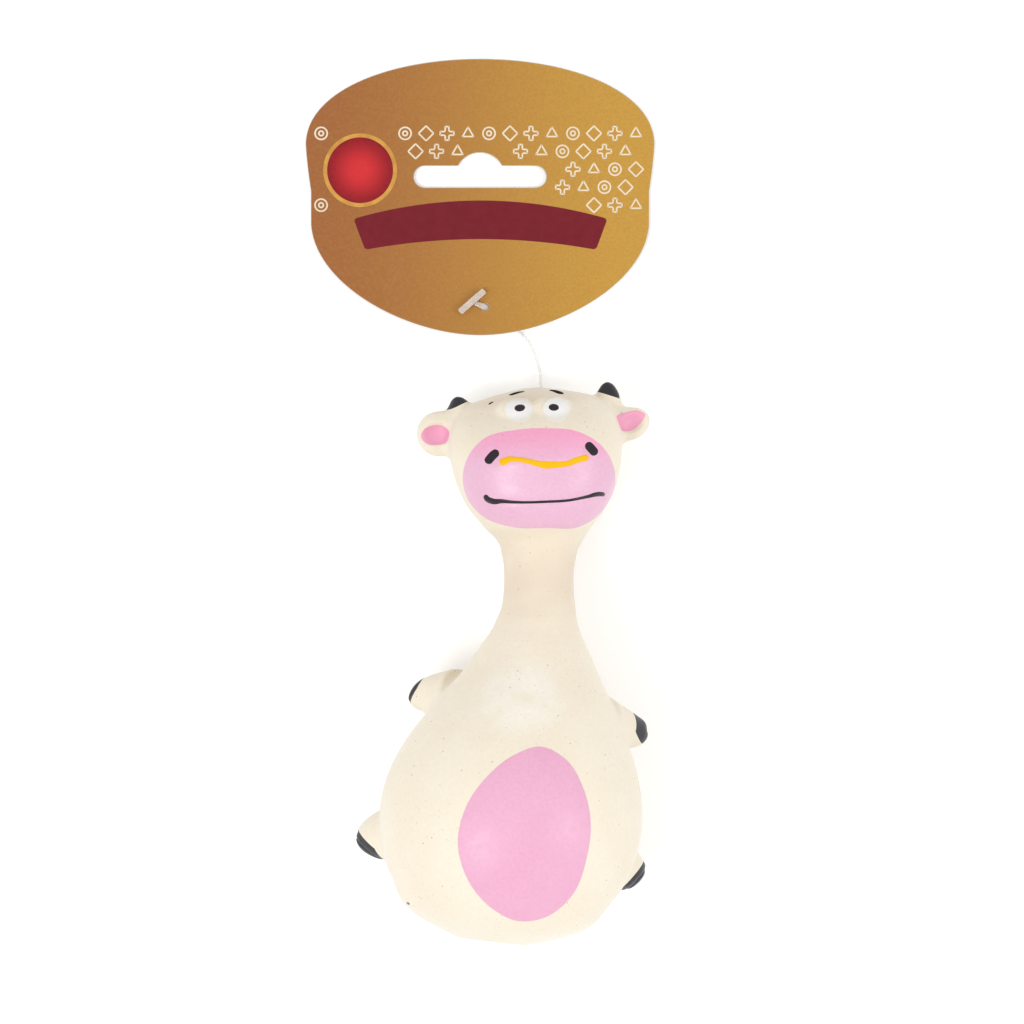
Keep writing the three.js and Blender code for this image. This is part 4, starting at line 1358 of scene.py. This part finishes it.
def card_outline():
    half, waist, top, shoulder = CARD["half"], CARD["waist"], CARD["top"], CARD["shoulder"]
    side_top, side_bottom, bottom = CARD["side_top"], CARD["side_bottom"], CARD["bottom"]
    crown, swell = CARD_BULGE["crown"] * half, shoulder + CARD_BULGE["swell"] * (top - shoulder)
    chin, jaw = CARD_BULGE["chin"] * half, side_bottom - CARD_BULGE["jaw"] * (side_bottom - bottom)
    right = bezier([(0, bottom), (chin, bottom), (waist - 1, jaw), (waist, side_bottom)], 40)
    right += bezier([(waist, side_bottom), (waist, side_top)], 6)
    right += bezier([(waist, side_top), (half - 0.3, shoulder - 5), (half, shoulder)], 10)
    right += bezier([(half, shoulder), (half, swell), (crown, top), (0, top)], 48)
    right.append(np.array([0.0, top]))
    left = [np.array([-x, y]) for x, y in right[-2:0:-1]]
    return np.array(right + left) + (CARD["across"], 0)


def slot_outline():
    half, end, rise, hump = SLOT["half"], SLOT["end"], SLOT["rise"], SLOT["hump_half"]
    crest = rise + end + 4 / 3 * SLOT["hump"]
    made = []
    for angle in np.linspace(-math.pi / 2, math.pi / 2, 17):
        made.append((half - end + end * math.cos(angle), rise + end * math.sin(angle)))
    made += bezier([(hump, rise + end), (0.6 * hump, crest), (-0.6 * hump, crest), (-hump, rise + end)], 24)
    made.append((-hump, rise + end))
    for angle in np.linspace(math.pi / 2, 1.5 * math.pi, 17):
        made.append((end - half + end * math.cos(angle), rise + end * math.sin(angle)))
    return np.array(made) + (CARD["across"], 0)


def circle(middle, radius, count=40):
    angles = np.linspace(0, 2 * math.pi, count, endpoint=False)
    return np.array(middle) + radius * np.stack([np.cos(angles), np.sin(angles)], 1)


def grown(outline, by):
    """An outline moved outwards, or inwards where by is below zero."""
    ahead = unit(np.roll(outline, -1, 0) - np.roll(outline, 1, 0))
    area = np.cross(outline, np.roll(outline, -1, 0)).sum()
    return outline + by * np.sign(area) * np.stack([ahead[:, 1], -ahead[:, 0]], 1)


def filled(outlines, step):
    """Points and triangles inside the first outline and outside the others.

    Inside there is a grid of points a step apart."""
    points = list(np.concatenate(outlines))
    edges, start = [], 0
    for outline in outlines:
        count = len(outline)
        edges += [(start + i, start + (i + 1) % count) for i in range(count)]
        start += count
    low, high = outlines[0].min(0), outlines[0].max(0)
    grid = np.stack(np.meshgrid(np.arange(low[0], high[0], step), np.arange(low[1], high[1], step)), -1)
    grid = grid.reshape(-1, 2)
    inner = outline_level(grid, outlines[0]) < -0.5 * step
    for outline in outlines[1:]:
        inner &= outline_level(grid, outline) > 0.5 * step
    points += list(grid[inner])
    flat, _, triangles, *_ = delaunay_2d_cdt([Vector(p) for p in points], edges, [], 0, 1e-7)
    flat = np.array([tuple(p) for p in flat])
    triangles = np.array(triangles)
    middle = flat[triangles].mean(1)
    kept = outline_level(middle, outlines[0]) < 0
    for outline in outlines[1:]:
        kept &= outline_level(middle, outline) > 0
    triangles = triangles[kept]
    a, b, c = (flat[triangles[:, i]] for i in range(3))
    turned_over = np.cross(b - a, c - a) < 0
    triangles[turned_over] = triangles[turned_over][:, ::-1]
    return flat, triangles


card_normal = unit(joint("card_spin")["axis"])
if card_normal[2] < 0:
    card_normal = -card_normal
card_across = np.array([1.0, 0, 0])
CARD_AXES = np.array([card_across, np.cross(card_normal, card_across), card_normal])
CARD_AT = joint_at("card_spin")


def from_card(flat, height):
    """Places on the card from across and up, at a height above its back."""
    heights = np.broadcast_to(height, len(flat))
    return CARD_AT + np.concatenate([flat, np.asarray(heights)[:, None]], 1) @ CARD_AXES


def on_card(flat):
    """Across and up on the card, from picture points."""
    return ((from_picture(flat, CARD_LEVEL) - CARD_AT) @ CARD_AXES.T)[:, :2]


def band(first, second):
    """Quads between two rings of point numbers."""
    return list(zip(first, second, second[1:] + second[:1], first[1:] + first[:1]))


def thin_solid(name, rows, flat, triangles, material):
    """A closed flat solid: two faces of the same triangles, joined by rows.

    A row is the numbers of the points along an edge, and the lines from the top to the back there."""
    points = list(flat)
    count = len(flat[0])
    faces = [list(t) for t in triangles] + [[i + count for i in t[::-1]] for t in triangles]
    start = 2 * count
    for numbers, lines in rows:
        previous = numbers
        for line in lines:
            points.append(line)
            current = list(range(start, start + len(line)))
            start += len(line)
            faces += band(previous, current)
            previous = current
        faces += band(previous, [i + count for i in numbers])
    made = new_object(name, np.concatenate(points), faces, material)
    made.data.set_sharp_from_angle(angle=SHARP_ANGLE)
    return made


def make_card():
    edge, thick = CARD["edge"], CARD["thick"]
    outlines = [card_outline(), slot_outline()[::-1], circle((0, 0), CARD["hole"])[::-1]]
    tops = [grown(outlines[0], -edge), grown(outlines[1], edge), grown(outlines[2], edge)]
    flat, triangles = filled(tops, STEP["card"])
    rows, start = [], 0
    for outline in outlines:
        numbers = list(range(start, start + len(outline)))
        rows.append((numbers, [from_card(outline, thick - edge), from_card(outline, edge)]))
        start += len(outline)
    faces = (from_card(flat, thick), from_card(flat, 0.0))
    low, high = box_of("header_card", margin=0)
    made = thin_solid("card", rows, faces, triangles, card_face(low[0], high[0]))
    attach(made, "card")
    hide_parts("header_card")


def rounded(corners, radius, count):
    """An outline with round corners."""
    made = []
    corners = np.asarray(corners, float)
    for before, at, after in zip(np.roll(corners, 1, 0), corners, np.roll(corners, -1, 0)):
        start, end = at + radius * unit(before - at), at + radius * unit(after - at)
        made += bezier([start, at, end], count) + [end]
    return np.array(made)


def printed(name, outline, material, rise):
    """A flat printed shape on the card's face, from an outline in picture points."""
    outline = on_card(outline)
    if np.cross(outline, np.roll(outline, -1, 0)).sum() < 0:
        outline = outline[::-1]
    flat, triangles = filled([outline], STEP["print"])
    faces = (from_card(flat, CARD["thick"] + rise), from_card(flat, CARD["thick"] - PRINT_ROOT))
    made = thin_solid(name, [(list(range(len(outline))), [])], faces, triangles, material)
    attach(made, "card")


def arch(left, right, side, crown, count=30):
    """Picture points along an arch from left to right."""
    share = np.linspace(0, 1, count)
    return np.stack([left + (right - left) * share, side - (side - crown) * 4 * share * (1 - share)], 1)


def banner_outline():
    left, right, side, crown = (BANNER[key] for key in ("left", "right", "side", "crown"))
    inset, corner = BANNER["inset"], BANNER["corner"]
    high = arch(left, right, side, crown)
    low = arch(right - inset, left + inset, side + BANNER["side_tall"], crown + BANNER["crown_tall"])
    outline = np.concatenate([high, low])
    made = []
    for i, at in enumerate(outline):
        if i in (0, len(high) - 1, len(high), len(outline) - 1):
            before, after = outline[i - 1], outline[(i + 1) % len(outline)]
            made += bezier([at + corner * unit(before - at), at, at + corner * unit(after - at)], 6)
        else:
            made.append(at)
    return np.array(made)


def motif_lines(kind, middle, size):
    """Closed lines, in picture points, of a small plain motif."""
    x, y = middle
    if kind == 0:
        return [circle(middle, size, 28), circle(middle, 0.45 * size, 20)]
    if kind == 1:
        reach = 1.25 * size
        return [rounded([(x, y - reach), (x + reach, y), (x, y + reach), (x - reach, y)], 0.25 * size, 4)]
    if kind == 2:
        a, b = 0.38 * size, 1.1 * size
        quarter = [(a, b), (a, a), (b, a)]
        cross = []
        for _ in range(4):
            cross += quarter
            quarter = [(v, -u) for u, v in quarter]
        return [rounded(np.array(cross) + middle, 0.12 * size, 3)]
    reach = 1.15 * size
    turns = np.linspace(0, 2 * math.pi, 3, endpoint=False) + math.pi / 2
    return [rounded([(x + reach * math.cos(t), y - reach * math.sin(t)) for t in turns], 0.3 * size, 4)]


def motif_places(banner):
    """The middles of the motifs, clear of the card's edge, slot, badge and banner, and their kinds."""
    slot, edge = slot_outline(), card_outline()
    made = []
    for row, down in enumerate(MOTIF_ROWS):
        first = MOTIF_SPAN[0] + (0.5 * MOTIF_PITCH if row % 2 else 0)
        for column, across in enumerate(np.arange(first, MOTIF_SPAN[1] + 1, MOTIF_PITCH)):
            middle = np.array([across, down])
            place = on_card(middle[None])
            clear = np.linalg.norm(middle - BADGE[:2]) > BADGE[2] + MOTIF_CLEAR["badge"]
            clear &= outline_level(middle[None], banner)[0] > MOTIF_CLEAR["banner"]
            clear &= outline_level(place, slot)[0] > MOTIF_CLEAR["edge"]
            clear &= outline_level(place, edge)[0] < -MOTIF_CLEAR["edge"]
            if clear:
                made.append((middle, (row + column) % 4))
    return made


def make_print():
    red = print_ink("print_red", (0.175, 0.012, 0.02), (0.155, 0.01, 0.018), 0.4)
    rim = print_ink("badge_gold", (0.62, 0.33, 0.07), (0.5, 0.24, 0.05), 0.36)
    pale = print_ink("print_pale", (0.78, 0.68, 0.52), (0.72, 0.6, 0.44), 0.5)
    badge, radius = BADGE[:2], BADGE[2]
    thick = CARD["thick"]
    bright = badge_ink(from_card(on_card(np.array([badge])), thick)[0], radius * VIEW_WIDTH / PICTURE)
    banner = banner_outline()
    printed("card_banner", banner, red, PRINT_RISE["banner"])
    printed("card_badge_rim", circle(badge, radius, 64), rim, PRINT_RISE["rim"])
    printed("card_badge", circle(badge, radius - BADGE_RIM, 64), bright, PRINT_RISE["badge"])
    low, high = thick - PRINT_ROOT, thick + PRINT_RISE["motif"]
    points, faces, start = [], [], 0
    for middle, kind in motif_places(banner):
        for line in motif_lines(kind, middle, MOTIF_SIZE):
            outer, inner = on_card(line), on_card(grown(line, -MOTIF_LINE))
            rings = []
            for flat, height in ((outer, low), (outer, high), (inner, high), (inner, low)):
                points.append(from_card(flat, height))
                rings.append(list(range(start, start + len(line))))
                start += len(line)
            for first, second in zip(rings, rings[1:] + rings[:1]):
                faces += band(first, second)
    made = new_object("card_motifs", np.concatenate(points), faces, pale)
    made.data.set_sharp_from_angle(angle=SHARP_ANGLE)
    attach(made, "card")


def finish_nodes():
    """Better materials for the CAD pieces that stay."""
    looks = {name: PLASTIC for name in PLASTIC_NODES}
    looks.update(squeaker_reed=BRASS, tag_anchor=CLEAR)
    for name, material in looks.items():
        slots = frame["nodes"][name].data.materials
        slots.clear()
        slots.append(material)


def make_floor():
    half, level = FLOOR["half"] * MM, FLOOR["level"] * MM
    mesh = bpy.data.meshes.new("floor")
    corners = [(-half, -half, level), (half, -half, level), (half, half, level), (-half, half, level)]
    mesh.from_pydata(corners, [], [(0, 1, 2, 3)])
    nodes = Nodes("floor")
    nodes.tree.nodes.clear()
    path = nodes.add("ShaderNodeLightPath").outputs
    direct = path["Is Camera Ray"]
    for ray in ("Is Glossy Ray", "Is Transmission Ray"):
        either = nodes.add("ShaderNodeMath", direct, path[ray])
        either.operation = "MAXIMUM"
        direct = either.outputs[0]
    plain = nodes.add("ShaderNodeBsdfDiffuse", Color=(*[FLOOR["white"]] * 3, 1))
    shaded = nodes.add("ShaderNodeBsdfDiffuse", Color=(*[FLOOR["seen_white"]] * 3, 1))
    glow = nodes.add("ShaderNodeEmission", Strength=FLOOR["glow"])
    seen = nodes.add("ShaderNodeAddShader", shaded.outputs[0], glow.outputs[0])
    chosen = nodes.add("ShaderNodeMixShader", direct, plain.outputs[0], seen.outputs[0])
    nodes.add("ShaderNodeOutputMaterial", chosen.outputs[0])
    mesh.materials.append(nodes.material)
    added("floor", mesh)


def make_light():
    world = bpy.data.worlds.new("studio")
    bpy.context.scene.world = world
    world.use_nodes = True
    sky = world.node_tree.nodes["Background"]
    sky.inputs["Color"].default_value = (1.0, 1.0, 1.0, 1)
    sky.inputs["Strength"].default_value = SKY_STRENGTH
    for name, lamp in LAMPS.items():
        data = bpy.data.lights.new(name, "AREA")
        data.shape = "DISK"
        data.size = LAMP_SIZE * MM
        data.energy = lamp["watts"]
        place, aim = (Vector(lamp[key]) * MM for key in ("at", "aim"))
        made = added(name, data)
        made.location = place
        made.rotation_euler = (aim - place).to_track_quat("-Z", "Y").to_euler()


make_camera()
make_filament([make_tag_bar(), make_collar()])
make_torso()
for limb_name, limb_shape in ALL_LIMBS.items():
    make_limb(limb_name, limb_shape)
make_head()
for ear_end, ear_shape in EARS.items():
    make_ear(ear_end, ear_shape)
make_face_paint()
make_card()
make_print()
finish_nodes()
make_floor()
make_light()
bpy.context.scene.view_settings.view_transform = "Standard"
